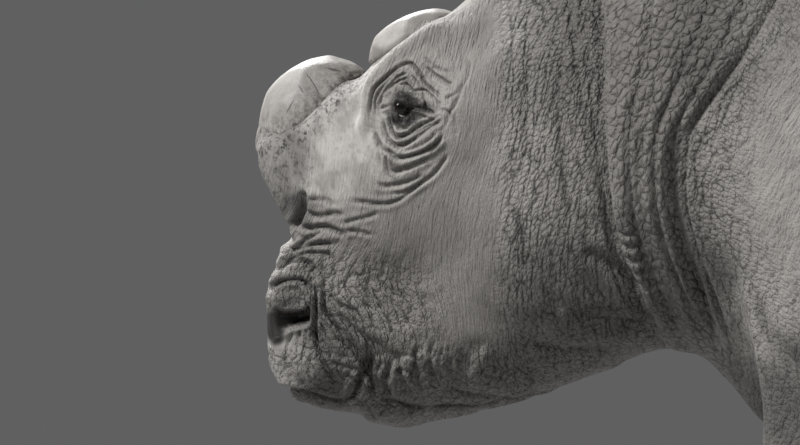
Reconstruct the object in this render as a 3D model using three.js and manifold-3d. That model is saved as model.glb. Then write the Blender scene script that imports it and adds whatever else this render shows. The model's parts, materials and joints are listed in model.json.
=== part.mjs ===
// A white rhinoceros at life size, standing square on four columnar legs with its head half raised.
// Both horns have been cut back to rounded stumps. Units are millimetres, +Z is up, the animal faces
// -X and its left side is -Y.
//
// The body is one smooth field: f(x, y, z) is about the distance to the skin, negative inside. Lofts
// and ellipsoids are blended into it, and each node of flesh is the part of the field that lies
// between its thin cuts. Horn stumps, eyes, ears, toenails and the tail are shapes of their own.
import * as THREE from "three";
import { mergeVertices } from "three/addons/utils/BufferGeometryUtils.js";
import Module from "manifold-3d";

const wasm = await Module();
wasm.setup();

// ---------------------------------------------------------------- driving dimensions
// The head's own frame starts midway between the eyes and is turned nose down.
const HEAD = { x: -1375, z: 1250, pitch: THREE.MathUtils.degToRad(33) };
const EYE = { a: -8, y: 147, b: 5, radius: 19 }; // in the head's frame, y to either side
const FRONT_FEET = { left: -650, right: -560 }; // x of each sole's centre
const HIND_FEET = { left: 1025, right: 1130 };
const STANCE = 215; // from the midline to each sole's centre
const FOOT_HEIGHT = 150; // the cut between leg and foot
const CUT_GAP = 0.8; // between two nodes of flesh
const SEAT_GAP = 0.6; // between flesh and what is seated on it
const SIDES = { left: -1, right: 1 };

// ---------------------------------------------------------------- field tools
const clamp = (v, low, high) => Math.min(Math.max(v, low), high);
const bell = (v, width) => Math.exp(-((v / width) ** 2));

// Two fields joined with a fillet about k wide, and one field hollowed by another.
function blend(a, b, k) {
  const h = Math.max(k - Math.abs(a - b), 0) / k;
  return Math.min(a, b) - (h * h * k) / 4;
}
const hollow = (a, b, k) => -blend(-a, b, k);

// Rows of numbers, smoothly interpolated on their first column.
function rowAt(rows, t) {
  const last = rows.length - 1;
  const at = clamp(t, rows[0][0], rows[last][0]);
  let i = 0;
  while (i < last - 1 && rows[i + 1][0] < at) i += 1;
  const [r0, r1, r2, r3] = [rows[Math.max(i - 1, 0)], rows[i], rows[i + 1], rows[Math.min(i + 2, last)]];
  const span = r2[0] - r1[0];
  const u = (at - r1[0]) / span;
  const slope = (a, b, k) => ((b[k] - a[k]) / (b[0] - a[0])) * span;
  return r1.map((v, k) => {
    if (k === 0) return at;
    const m1 = slope(r0, r2, k);
    const m2 = slope(r1, r3, k);
    const d = r2[k] - v;
    return v + u * (m1 + u * (3 * d - 2 * m1 - m2 + u * (m1 + m2 - 2 * d)));
  });
}

// A loft along t. Each row is t, top, bottom, then the half-widths high, in the middle and low.
function loft(rows, squareness, t, side, up) {
  const [, top, bottom, high, middle, low] = rowAt(rows, t);
  const centre = (top + bottom) / 2;
  const v = (up - centre) / ((top - bottom) / 2);
  const s = clamp(v, -1, 1);
  const width = middle + ((high - low) / 2) * s + ((high + low) / 2 - middle) * s * s;
  const reach = (Math.abs(side / width) ** squareness + Math.abs(v) ** squareness) ** (1 / squareness);
  const around = Math.hypot(side, up - centre) * (1 - 1 / Math.max(reach, 0.05));
  const past = Math.max(rows[0][0] - t, t - rows[rows.length - 1][0]);
  return past > 0 ? Math.hypot(Math.max(around, 0), past) : around;
}

// An upright loft. Each row is z, then the centre x and y and the half-lengths along x and y.
function column(rows, x, y, z) {
  const [, cx, cy, rx, ry] = rowAt(rows, z);
  const reach = Math.hypot((x - cx) / rx, (y - cy) / ry);
  const around = Math.hypot(x - cx, y - cy) * (1 - 1 / Math.max(reach, 0.05));
  const past = Math.max(rows[0][0] - z, z - rows[rows.length - 1][0]);
  return past > 0 ? Math.hypot(Math.max(around, 0), past) : around;
}

// An ellipsoid, or a rounded block where squareness is over 2.
function lump(p, centre, radii, squareness = 2) {
  const d = [0, 1, 2].map((k) => Math.abs((p[k] - centre[k]) / radii[k]));
  const reach = d.reduce((sum, v) => sum + v ** squareness, 0) ** (1 / squareness);
  const far = Math.hypot(p[0] - centre[0], p[1] - centre[1], p[2] - centre[2]);
  return far * (1 - 1 / Math.max(reach, 0.05));
}

// ---------------------------------------------------------------- trunk and neck
// Rows run from the nape to the rump: x, back, belly, half-widths.
const TRUNK = [
  [-1190, 1530, 985, 90, 165, 120],
  [-1080, 1570, 950, 115, 212, 145],
  [-960, 1618, 915, 145, 262, 170],
  [-840, 1684, 845, 172, 308, 190],
  [-700, 1736, 748, 198, 352, 220],
  [-500, 1736, 672, 208, 388, 275],
  [-180, 1660, 600, 218, 444, 338],
  [200, 1606, 562, 238, 484, 378],
  [590, 1618, 582, 250, 478, 352],
  [880, 1650, 648, 275, 446, 292],
  [1165, 1608, 748, 250, 398, 248],
  [1350, 1495, 850, 190, 328, 205],
  [1470, 1345, 960, 108, 215, 145],
];
const TRUNK_SQUARENESS = 2.25;
const ROLL = { x: -952, width: 62, height: 15, z: 880, reach: 600 }; // fold of loose skin round the neck

function trunkField(x, y, z) {
  let f = loft(TRUNK, TRUNK_SQUARENESS, x, y, z);
  f = blend(f, lump([x, y, z], [1285, 0, 1170], [210, 305, 335]), 90); // rump
  f = blend(f, lump([x, y, z], [-745, 0, 900], [165, 130, 160]), 90); // breast
  const roll = ROLL.height * bell(x - ROLL.x, ROLL.width) * bell(z - ROLL.z, ROLL.reach);
  return f - roll;
}

// ---------------------------------------------------------------- head
// The head's own frame: a runs back along the skull, b up from it, both level before the pitch.
const COS = Math.cos(HEAD.pitch);
const SIN = Math.sin(HEAD.pitch);
const headFrame = (x, z) => [
  COS * (x - HEAD.x) + SIN * (z - HEAD.z),
  -SIN * (x - HEAD.x) + COS * (z - HEAD.z),
];
const headPoint = (a, y, b) => [HEAD.x + COS * a - SIN * b, y, HEAD.z + SIN * a + COS * b];

// Rows run from the nose to the crest: a, top, bottom, half-widths.
const SKULL = [
  [-272, 62, -14, 52, 64, 66],
  [-256, 92, -78, 74, 88, 90],
  [-200, 106, -190, 88, 112, 108],
  [-110, 118, -270, 104, 138, 118],
  [-30, 114, -330, 134, 162, 130],
  [50, 108, -385, 146, 178, 142],
  [130, 112, -415, 140, 184, 150],
  [230, 134, -420, 112, 180, 155],
  [320, 158, -380, 98, 160, 140],
  [372, 166, -240, 84, 130, 110],
];
const SKULL_SQUARENESS = 2.7;
// Rows run along the lower jaw from the chin to the throat.
const JAW = [
  [-352, -205, -268, 52, 62, 56],
  [-318, -190, -322, 66, 80, 66],
  [-250, -150, -358, 78, 92, 74],
  [-110, -150, -406, 100, 122, 84],
  [60, -160, -446, 130, 150, 92],
  [190, -190, -458, 140, 160, 100],
  [290, -230, -440, 130, 150, 90],
];
const JAW_SQUARENESS = 2.3;
const EAR_ROOT = { a: 318, y: 128, b: 108, radius: 46 };

function headField(x, y, z) {
  const [a, b] = headFrame(x, z);
  const side = Math.abs(y);
  const p = [a, side, b];
  let f = loft(SKULL, SKULL_SQUARENESS, a, y, b);
  f = blend(f, loft(JAW, JAW_SQUARENESS, a, y, b), 50);
  const lips = lump([x - HEAD.x, y, z - HEAD.z], [-151, 0, -301], [116, 118, 121], 3); // square upper lip
  f = blend(f, lips, 40);
  f = blend(f, lump([a, y, b], [-178, 0, 42], [92, 98, 58], 3), 25); // boss under the front horn
  f = blend(f, lump(p, [40, 106, 54], [125, 44, 34]), 30); // brow ridge
  f = blend(f, lump(p, [120, 140, -62], [150, 46, 52]), 45); // cheekbone
  f = blend(f, lump(p, [110, 95, -260], [150, 78, 150]), 60); // chewing muscle
  f = blend(f, lump(p, [345, 60, 140], [60, 80, 46]), 50); // crest of the head
  const { radius } = EAR_ROOT;
  f = blend(f, lump(p, [EAR_ROOT.a, EAR_ROOT.y, EAR_ROOT.b], [radius, radius, radius]), 34);
  f = hollow(f, lump(p, [EYE.a, EYE.y + 36, EYE.b], [40, 26, 28]), 24); // orbit
  f = hollow(f, lump([x - HEAD.x, side, z - HEAD.z], [-204, 124, -292], [31, 30, 30]), 16); // nostril
  return f;
}

// ---------------------------------------------------------------- legs
// Rows run up a leg from below the floor, which trims it: z, centre x and y from the sole's centre,
// half-lengths along x and y.
const FRONT_LEG = [
  [-60, 0, 0, 122, 108],
  [0, 0, 0, 140, 125],
  [70, 0, 0, 146, 131],
  [150, 6, 0, 126, 117],
  [240, 10, 0, 110, 104],
  [380, 6, 0, 115, 105],
  [470, 0, 0, 127, 112],
  [580, 8, 0, 136, 116],
  [720, 26, 4, 168, 126],
  [860, 44, 8, 205, 130],
  [1020, 36, 16, 225, 124],
  [1220, 0, 22, 210, 100],
  [1400, -40, 10, 140, 66],
];
const HIND_LEG = [
  [-60, 0, 0, 110, 100],
  [0, 0, 0, 128, 118],
  [70, 0, 0, 134, 123],
  [150, 10, 0, 114, 107],
  [240, 22, 0, 97, 92],
  [340, 44, 0, 106, 92],
  [440, 62, 0, 130, 98],
  [540, 60, 0, 158, 112],
  [680, 44, 4, 218, 140],
  [840, 30, 6, 296, 160],
  [1020, 40, 6, 345, 170],
  [1220, 30, 0, 330, 150],
  [1400, 20, -20, 220, 110],
];

const legAt = (rows, footX, x, y, z) => column(rows, x - footX, Math.abs(y) - STANCE, z);

function legField(x, y, z) {
  const side = y < 0 ? "left" : "right";
  const front = legAt(FRONT_LEG, FRONT_FEET[side], x, y, z);
  const hind = legAt(HIND_LEG, HIND_FEET[side], x, y, z);
  return Math.min(front, hind);
}

function bodyField(x, y, z) {
  const f = blend(trunkField(x, y, z), headField(x, y, z), 60);
  return blend(f, legField(x, y, z), 70);
}

// ---------------------------------------------------------------- from a field to a solid
// Surface nets: one vertex in each cell that the skin crosses, moved onto the skin, and one quad
// across each grid edge that it crosses. With grow, the vertices are then moved out by that much.
const CORNERS = [0, 1, 2, 3, 4, 5, 6, 7].map((c) => [c & 1, (c >> 1) & 1, (c >> 2) & 1]);

function gridOf(low, high, wished) {
  const cells = [0, 1, 2].map((k) => Math.round((high[k] - low[k]) / wished[k]));
  const cell = cells.map((n, k) => (high[k] - low[k]) / n);
  const index = (i, j, k) => (i * (cells[1] + 1) + j) * (cells[2] + 1) + k;
  const place = (i, j, k) => [low[0] + i * cell[0], low[1] + j * cell[1], low[2] + k * cell[2]];
  const isWall = (i, j, k) => [i, j, k].some((v, axis) => v === 0 || v === cells[axis]);
  return { cells, cell, index, place, isWall };
}

function* cellsOf(counts) {
  for (let i = 0; i < counts[0]; i += 1)
    for (let j = 0; j < counts[1]; j += 1) for (let k = 0; k < counts[2]; k += 1) yield [i, j, k];
}

function fieldSlope(field, p) {
  const step = 2;
  const f = field(...p);
  return [0, 1, 2].map((k) => {
    const q = [...p];
    q[k] += step;
    return (field(...q) - f) / step;
  });
}

// A point moved down the field's slope until it lies on the skin, without leaving its cell.
const MARGIN = 0.06; // of a cell, so that the points of two cells never meet
function ontoSkin(field, start, corner, cell) {
  const low = corner.map((v, k) => v + MARGIN * cell[k]);
  const high = corner.map((v, k) => v + (1 - MARGIN) * cell[k]);
  let p = start;
  for (let round = 0; round < 3; round += 1) {
    const slope = fieldSlope(field, p);
    const steep = slope.reduce((sum, s) => sum + s * s, 0);
    if (steep < 1e-4) break;
    const move = clamp(field(...p) / steep, -cell[0], cell[0]);
    p = p.map((v, k) => clamp(v - move * slope[k], low[k], high[k]));
  }
  return p;
}

// Where the skin crosses the twelve edges of one cell, averaged.
function crossingOf(value, grid, at) {
  const found = [];
  CORNERS.forEach((c, one) => {
    const from = at.map((v, k) => v + c[k]);
    const f1 = value[grid.index(...from)];
    for (let axis = 0; axis < 3; axis += 1) {
      if (c[axis]) continue;
      const to = at.map((v, k) => v + CORNERS[one | (1 << axis)][k]);
      const f2 = value[grid.index(...to)];
      if (f1 < 0 === f2 < 0) continue;
      const p = grid.place(...from);
      p[axis] += (grid.cell[axis] * f1) / (f1 - f2);
      found.push(p);
    }
  });
  if (!found.length) return null;
  return [0, 1, 2].map((k) => found.reduce((sum, p) => sum + p[k], 0) / found.length);
}

function skinOf(field, low, high, wished, grow = 0) {
  const grid = gridOf(low, high, wished);
  const value = [];
  for (const at of cellsOf(grid.cells.map((n) => n + 1))) {
    const f = field(...grid.place(...at));
    value[grid.index(...at)] = grid.isWall(...at) ? Math.max(f, 1) : f;
  }
  const vertexOf = new Map();
  const points = [];
  const triangles = [];
  for (const at of cellsOf(grid.cells)) {
    const start = crossingOf(value, grid, at);
    if (!start) continue;
    const p = ontoSkin(field, start, grid.place(...at), grid.cell);
    const out = new THREE.Vector3(...fieldSlope(field, p)).setLength(grow);
    vertexOf.set(grid.index(...at), points.length / 3);
    points.push(p[0] + out.x, p[1] + out.y, p[2] + out.z);
  }
  for (const at of cellsOf(grid.cells))
    for (let axis = 0; axis < 3; axis += 1) {
      const next = at.map((v, k) => v + (k === axis ? 1 : 0));
      const inside = value[grid.index(...at)] < 0;
      if (inside === value[grid.index(...next)] < 0) continue;
      const [u, v] = [(axis + 1) % 3, (axis + 2) % 3];
      const around = [[0, 0], [1, 0], [1, 1], [0, 1]].map(([du, dv]) => {
        const c = [...at];
        c[u] -= du;
        c[v] -= dv;
        return vertexOf.get(grid.index(...c));
      });
      const [p, q, r, s] = inside ? around : around.reverse();
      triangles.push(p, q, r, p, r, s);
    }
  return manifoldOf(new Float32Array(points), new Uint32Array(triangles));
}

// ---------------------------------------------------------------- solids
function manifoldOf(positions, indices) {
  return new wasm.Manifold(new wasm.Mesh({ numProp: 3, vertProperties: positions, triVerts: indices }));
}

function solidOf(geometry, matrix = new THREE.Matrix4()) {
  const bare = geometry.clone().applyMatrix4(matrix);
  bare.deleteAttribute("normal");
  bare.deleteAttribute("uv");
  const merged = mergeVertices(bare, 1e-3);
  return manifoldOf(merged.attributes.position.array, new Uint32Array(merged.index.array));
}

function geometryOf(solid) {
  const mesh = solid.getMesh();
  const geometry = new THREE.BufferGeometry();
  geometry.setAttribute("position", new THREE.BufferAttribute(mesh.vertProperties, 3));
  geometry.setIndex(new THREE.BufferAttribute(mesh.triVerts, 1));
  geometry.computeVertexNormals();
  return geometry;
}

const largestOf = (solid) => solid.decompose().sort((one, two) => two.volume() - one.volume())[0];
const without = (solid, cutters) => cutters.reduce((left, cutter) => left.subtract(cutter), solid);

// A closed tube through rings of points, each ring counterclockwise seen from the far end.
function tubeThrough(rings) {
  const n = rings[0].length;
  const points = rings.flat();
  const triangles = [];
  for (let r = 0; r < rings.length - 1; r += 1)
    for (let i = 0; i < n; i += 1) {
      const [p, q] = [r * n + i, r * n + ((i + 1) % n)];
      triangles.push(p, q, q + n, p, q + n, p + n);
    }
  const capAt = (ring, turned) => {
    const centre = new THREE.Vector3();
    rings[ring].forEach((p) => centre.addScaledVector(p, 1 / n));
    points.push(centre);
    for (let i = 0; i < n; i += 1) {
      const edge = [ring * n + i, ring * n + ((i + 1) % n)];
      triangles.push(...(turned ? edge.reverse() : edge), points.length - 1);
    }
  };
  capAt(0, true);
  capAt(rings.length - 1, false);
  return geometryFrom(points, triangles);
}

// A closed sheet between two grids of points of the same size, the second lying inside the first.
function sheetBetween(outer, inner) {
  const [rows, columns] = [outer.length, outer[0].length];
  const points = [...outer.flat(), ...inner.flat()];
  const id = (layer, i, j) => layer * rows * columns + i * columns + j;
  const triangles = [];
  const quad = (p, q, r, s) => triangles.push(p, q, r, p, r, s);
  for (let i = 0; i < rows - 1; i += 1)
    for (let j = 0; j < columns - 1; j += 1) {
      quad(id(0, i, j), id(0, i, j + 1), id(0, i + 1, j + 1), id(0, i + 1, j));
      quad(id(1, i, j), id(1, i + 1, j), id(1, i + 1, j + 1), id(1, i, j + 1));
    }
  const [top, end] = [rows - 1, columns - 1];
  for (let i = 0; i < top; i += 1) {
    quad(id(0, i, 0), id(0, i + 1, 0), id(1, i + 1, 0), id(1, i, 0));
    quad(id(0, i + 1, end), id(0, i, end), id(1, i, end), id(1, i + 1, end));
  }
  for (let j = 0; j < end; j += 1) {
    quad(id(0, 0, j + 1), id(0, 0, j), id(1, 0, j), id(1, 0, j + 1));
    quad(id(0, top, j), id(0, top, j + 1), id(1, top, j + 1), id(1, top, j));
  }
  return geometryFrom(points, triangles);
}

function geometryFrom(points, triangles) {
  const geometry = new THREE.BufferGeometry();
  geometry.setFromPoints(points);
  geometry.setIndex(triangles);
  return geometry;
}

// ---------------------------------------------------------------- cutters
// A big block whose near face passes through a point, square to a direction: all beyond it.
const BLOCK = 6000;
function beyond(point, way, gap = CUT_GAP) {
  const unit = new THREE.Vector3(...way).normalize();
  const turn = new THREE.Quaternion().setFromUnitVectors(new THREE.Vector3(0, 0, 1), unit);
  const matrix = new THREE.Matrix4().makeRotationFromQuaternion(turn);
  matrix.setPosition(new THREE.Vector3(...point).addScaledVector(unit, (BLOCK - gap) / 2));
  return solidOf(new THREE.BoxGeometry(BLOCK, BLOCK, BLOCK), matrix);
}
const ahead = ({ point, way }) => beyond(point, way);
const behind = ({ point, way }) => beyond(point, way.map((v) => -v));

// Where the body is divided: a point of each cut and the way it faces.
const HEAD_CUT = { point: [-1120, 0, 1300], way: [-1, 0, 0.14] };
const NECK_CUT = { point: [-800, 0, 1250], way: [-1, 0, 0.22] };
const MOUTH_CUT = { point: headPoint(-300, 0, -247), way: [0.18, 0, -1] };
const FOOT_CUT = { point: [0, 0, FOOT_HEIGHT], way: [0, 0, -1] };
const FLOOR = beyond([0, 0, 0], [0, 0, -1], 0);

// The room a leg takes up under the trunk: in front and behind from the sole's centre, and the
// height of its slanted top at each.
const FRONT_ROOM = { front: -190, rear: 205, highFront: 820, highRear: 690 };
const HIND_ROOM = { front: -215, rear: 430, highFront: 690, highRear: 930 };
const LEG_INNER = 75; // inner face of that room, from the midline
const LEG_OUTER = 700;

function legRoom({ room, footX, side }, grow) {
  const x0 = footX + room.front - grow;
  const x1 = footX + room.rear + grow;
  const outline = new THREE.Shape([
    new THREE.Vector2(x0, -100),
    new THREE.Vector2(x1, -100),
    new THREE.Vector2(x1, room.highRear + grow),
    new THREE.Vector2(x0, room.highFront + grow),
  ]);
  const depth = LEG_OUTER - LEG_INNER + grow;
  const prism = new THREE.ExtrudeGeometry(outline, { depth, bevelEnabled: false });
  prism.rotateX(Math.PI / 2); // the outline's up becomes +Z, its depth runs towards -Y
  prism.translate(0, side < 0 ? grow - LEG_INNER : LEG_OUTER, 0);
  return solidOf(prism);
}

// ---------------------------------------------------------------- materials and nodes
const paint = (color, roughness) => new THREE.MeshStandardMaterial({ color, roughness, metalness: 0 });
const HIDE = paint(0x8a8885, 0.85);
const HORN = paint(0xbdbab4, 0.55);
const NAIL = paint(0x77726c, 0.6);
const DARK_EYE = paint(0x1c1512, 0.08);

const rhino = new THREE.Group();
function place(name, solid, material) {
  const mesh = new THREE.Mesh(geometryOf(solid), material);
  mesh.name = name;
  rhino.add(mesh);
}

// ---------------------------------------------------------------- head with its eyes, horns and ears
const HEAD_BOX = { low: [-1700, -260, 760], high: [-960, 260, 1740], cell: [38, 40, 40] };
const headSkin = skinOf(bodyField, HEAD_BOX.low, HEAD_BOX.high, HEAD_BOX.cell);
const headSeat = skinOf(bodyField, HEAD_BOX.low, HEAD_BOX.high, HEAD_BOX.cell, SEAT_GAP);
const headMatrix = new THREE.Matrix4().makeRotationY(-HEAD.pitch).setPosition(HEAD.x, 0, HEAD.z);

function eyeball(side, grow) {
  const ball = new THREE.SphereGeometry(EYE.radius + grow, 12, 7);
  return solidOf(ball, new THREE.Matrix4().setPosition(...headPoint(EYE.a, side * EYE.y, EYE.b)));
}

// A horn stump is a rounded block: rings of a superellipse, narrowing towards the top.
const FRONT_STUMP = { a: -178, b: 92, long: 95, wide: 89, high: 93, tilt: 0.07, depth: 34 };
const REAR_STUMP = { a: 3, b: 104, long: 77, wide: 72, high: 46, tilt: -0.13, depth: 30 };
const STUMP_SQUARENESS = 2.4;
const STUMP_ROOT = 0.84; // it narrows below the skin
const STUMP_RINGS = [0, 0.3, 0.58, 0.8, 0.95]; // of its height
const STUMP_SIDES = 16;

function hornStump({ a, b, long, wide, high, tilt, depth }) {
  const radiusAt = (h) => (h < 0 ? STUMP_ROOT : (1 - h ** STUMP_SQUARENESS) ** (1 / STUMP_SQUARENESS));
  const rings = [-depth / high, ...STUMP_RINGS].map((h) =>
    Array.from({ length: STUMP_SIDES }, (_, i) => {
      const turn = (i / STUMP_SIDES) * 2 * Math.PI;
      const r = radiusAt(h);
      return new THREE.Vector3(r * long * Math.cos(turn), r * wide * Math.sin(turn), h * high);
    }),
  );
  const matrix = new THREE.Matrix4().makeRotationY(-tilt).setPosition(a, 0, b).premultiply(headMatrix);
  return solidOf(tubeThrough(rings), matrix);
}

// An ear is a curled sheet, nearly closed at its root and open and pointed above.
// Rows run up the ear: height, radius, half-angle of the curl in degrees.
const EAR = [
  [0, 38, 168],
  [50, 45, 164],
  [100, 60, 136],
  [145, 67, 112],
  [188, 58, 96],
  [222, 36, 88],
  [246, 8, 84],
];
const EAR_THICKNESS = 7;
const EAR_STEPS = 8; // round the curl
const EAR_LEAN = { forward: 0.1, out: 0.3, turn: 0.7 }; // radians: the opening faces forward and out

function ear(side) {
  const grid = (inset) =>
    EAR.map(([height, radius, curl]) => {
      const r = Math.max(radius - inset, 1);
      return Array.from({ length: EAR_STEPS + 1 }, (_, j) => {
        const turn = THREE.MathUtils.degToRad(curl) * ((2 * j) / EAR_STEPS - 1);
        return new THREE.Vector3(r * Math.cos(turn), r * Math.sin(turn), height - inset);
      });
    });
  const lean = new THREE.Euler(-side * EAR_LEAN.out, -EAR_LEAN.forward, -side * EAR_LEAN.turn, "XYZ");
  const matrix = new THREE.Matrix4()
    .makeRotationFromEuler(lean)
    .setPosition(...headPoint(EAR_ROOT.a, side * EAR_ROOT.y, EAR_ROOT.b));
  return solidOf(sheetBetween(grid(0), grid(EAR_THICKNESS)), matrix);
}

const headWhole = largestOf(without(headSkin, [behind(HEAD_CUT)]));
const headCarved = without(headWhole, Object.values(SIDES).map((side) => eyeball(side, SEAT_GAP)));
place("head", largestOf(headCarved.subtract(ahead(MOUTH_CUT))), HIDE);
place("lower_jaw", largestOf(headCarved.subtract(behind(MOUTH_CUT))), HIDE);
place("horn_front_stump", largestOf(hornStump(FRONT_STUMP).subtract(headSeat)), HORN);
place("horn_rear_stump", largestOf(hornStump(REAR_STUMP).subtract(headSeat)), HORN);
for (const [name, side] of Object.entries(SIDES)) {
  place(`eye_${name}`, eyeball(side, 0), DARK_EYE);
  place(`ear_${name}`, largestOf(ear(side).subtract(headSeat)), HIDE);
}

// ---------------------------------------------------------------- neck and trunk
const LEGS = Object.entries(SIDES).flatMap(([name, side]) => [
  { name: `front_${name}`, room: FRONT_ROOM, footX: FRONT_FEET[name], side, rows: FRONT_LEG },
  { name: `hind_${name}`, room: HIND_ROOM, footX: HIND_FEET[name], side, rows: HIND_LEG },
]);

const NECK_BOX = { low: [-1420, -420, 700], high: [-620, 420, 1860], cell: [66, 60, 64] };
const neckSkin = skinOf(bodyField, NECK_BOX.low, NECK_BOX.high, NECK_BOX.cell);
place("neck", largestOf(without(neckSkin, [ahead(HEAD_CUT), behind(NECK_CUT)])), HIDE);

const TRUNK_BOX = { low: [-1150, -640, 440], high: [1760, 640, 1860], cell: [138, 96, 96] };
const trunkSkin = skinOf(bodyField, TRUNK_BOX.low, TRUNK_BOX.high, TRUNK_BOX.cell);
const trunkSeat = skinOf(bodyField, TRUNK_BOX.low, TRUNK_BOX.high, TRUNK_BOX.cell, SEAT_GAP);
const trunkCutters = [ahead(NECK_CUT), ...LEGS.map((leg) => legRoom(leg, CUT_GAP / 2))];
place("trunk", largestOf(without(trunkSkin, trunkCutters)), HIDE);

// ---------------------------------------------------------------- legs, feet and toenails
// The space that each is made in: how far past the leg's room or the sole's centre, and its heights.
const LEG_BOX = { past: 90, inner: 35, outer: 540, low: 60, high: 1040, cell: [68, 62, 96] };
const FOOT_BOX = { past: [180, 160], low: -50, high: 240, cell: [54, 54, 44] };
// Each foot has a broad middle nail and one to each side: turn from straight ahead, half-width, height.
const NAILS = {
  outer: { turn: 62, wide: 44, high: 66 },
  middle: { turn: 0, wide: 60, high: 80 },
  inner: { turn: -62, wide: 44, high: 66 },
};
const NAIL_DEPTH = 32;
const NAIL_SINK = 15; // how far its centre lies inside the foot
const NAIL_LIFT = 3; // the nails stop short of the floor

function nail({ turn, wide, high }, { rows, footX, side }) {
  const [, , , long, broad] = rowAt(rows, high / 2);
  const way = THREE.MathUtils.degToRad(turn) * side;
  const x = footX - (long - NAIL_SINK) * Math.cos(way);
  const y = side * STANCE + (broad - NAIL_SINK) * Math.sin(way);
  const shape = new THREE.SphereGeometry(1, 10, 6);
  shape.scale(NAIL_DEPTH, wide, high);
  const matrix = new THREE.Matrix4().makeRotationZ(-way).setPosition(x, y, NAIL_LIFT);
  return solidOf(shape, matrix).subtract(beyond([0, 0, NAIL_LIFT], [0, 0, -1], 0));
}

function legSolid(leg) {
  const { room, footX, side } = leg;
  const ys = [side * LEG_BOX.inner, side * LEG_BOX.outer].sort((one, two) => one - two);
  const low = [footX + room.front - LEG_BOX.past, ys[0], LEG_BOX.low];
  const high = [footX + room.rear + LEG_BOX.past, ys[1], LEG_BOX.high];
  const skin = skinOf(bodyField, low, high, LEG_BOX.cell);
  return largestOf(skin.intersect(legRoom(leg, -CUT_GAP / 2)).subtract(ahead(FOOT_CUT)));
}

function footSkin({ footX, side }, grow) {
  const [alongX, alongY] = FOOT_BOX.past;
  const low = [footX - alongX, side * STANCE - alongY, FOOT_BOX.low];
  const high = [footX + alongX, side * STANCE + alongY, FOOT_BOX.high];
  return skinOf(bodyField, low, high, FOOT_BOX.cell, grow);
}

for (const leg of LEGS) {
  place(`leg_${leg.name}`, legSolid(leg), HIDE);
  place(`foot_${leg.name}`, largestOf(without(footSkin(leg, 0), [FLOOR, behind(FOOT_CUT)])), HIDE);
  const seat = footSkin(leg, SEAT_GAP);
  for (const [toe, spec] of Object.entries(NAILS))
    place(`nail_${leg.name}_${toe}`, largestOf(nail(spec, leg).subtract(seat)), NAIL);
}

// ---------------------------------------------------------------- tail
// Rows run down the tail: x, z, half-length fore and aft, half-width.
const TAIL = [
  [1410, 1400, 46, 42],
  [1482, 1345, 42, 38],
  [1526, 1250, 34, 30],
  [1542, 1130, 28, 24],
  [1546, 1010, 23, 19],
  [1546, 915, 20, 15],
  [1548, 855, 30, 16],
  [1550, 785, 36, 15],
  [1551, 725, 22, 10],
  [1552, 695, 6, 4],
];

const TAIL_SIDES = 10;

function tail() {
  const rings = TAIL.map(([x, z, deep, wide], i) => {
    const from = TAIL[Math.max(i - 1, 0)];
    const to = TAIL[Math.min(i + 1, TAIL.length - 1)];
    const along = new THREE.Vector3(to[0] - from[0], 0, to[1] - from[1]).normalize();
    const across = new THREE.Vector3(-along.z, 0, along.x);
    return Array.from({ length: TAIL_SIDES }, (_, j) => {
      const turn = (j / TAIL_SIDES) * 2 * Math.PI;
      const centre = new THREE.Vector3(x, -wide * Math.sin(turn), z);
      return centre.addScaledVector(across, deep * Math.cos(turn));
    });
  });
  return solidOf(tubeThrough(rings));
}
place("tail", largestOf(tail().subtract(trunkSeat)), HIDE);

// ---------------------------------------------------------------- centred over the origin
const bounds = new THREE.Box3().setFromObject(rhino);
rhino.position.x = -(bounds.min.x + bounds.max.x) / 2;

export default rhino;
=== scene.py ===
import json
import math

import bmesh
import bpy
import numpy as np
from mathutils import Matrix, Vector

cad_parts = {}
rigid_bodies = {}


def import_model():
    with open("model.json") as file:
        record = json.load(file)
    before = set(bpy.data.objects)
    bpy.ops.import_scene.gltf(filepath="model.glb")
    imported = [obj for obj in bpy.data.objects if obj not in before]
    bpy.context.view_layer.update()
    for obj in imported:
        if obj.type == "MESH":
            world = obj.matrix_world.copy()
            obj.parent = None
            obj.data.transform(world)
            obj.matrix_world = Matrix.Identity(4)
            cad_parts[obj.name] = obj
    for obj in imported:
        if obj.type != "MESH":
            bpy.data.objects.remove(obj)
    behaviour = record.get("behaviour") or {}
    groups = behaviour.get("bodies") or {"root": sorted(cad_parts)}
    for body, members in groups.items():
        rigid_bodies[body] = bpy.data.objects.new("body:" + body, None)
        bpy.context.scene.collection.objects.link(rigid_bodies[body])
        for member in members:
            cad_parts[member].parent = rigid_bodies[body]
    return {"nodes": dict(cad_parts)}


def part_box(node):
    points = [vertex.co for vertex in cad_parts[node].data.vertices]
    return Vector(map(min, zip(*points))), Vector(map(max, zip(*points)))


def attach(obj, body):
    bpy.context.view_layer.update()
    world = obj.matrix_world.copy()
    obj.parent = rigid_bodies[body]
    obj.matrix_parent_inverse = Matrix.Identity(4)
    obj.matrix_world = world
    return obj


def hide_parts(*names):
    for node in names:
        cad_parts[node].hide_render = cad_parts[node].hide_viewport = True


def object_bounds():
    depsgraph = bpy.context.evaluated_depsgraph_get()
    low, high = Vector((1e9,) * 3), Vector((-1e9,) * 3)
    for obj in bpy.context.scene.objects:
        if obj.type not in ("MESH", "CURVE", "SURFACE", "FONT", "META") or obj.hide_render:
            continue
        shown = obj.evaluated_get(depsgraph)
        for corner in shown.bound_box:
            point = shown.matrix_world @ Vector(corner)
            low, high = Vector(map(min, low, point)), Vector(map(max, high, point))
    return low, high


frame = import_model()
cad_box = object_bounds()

MM = 0.001


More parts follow.
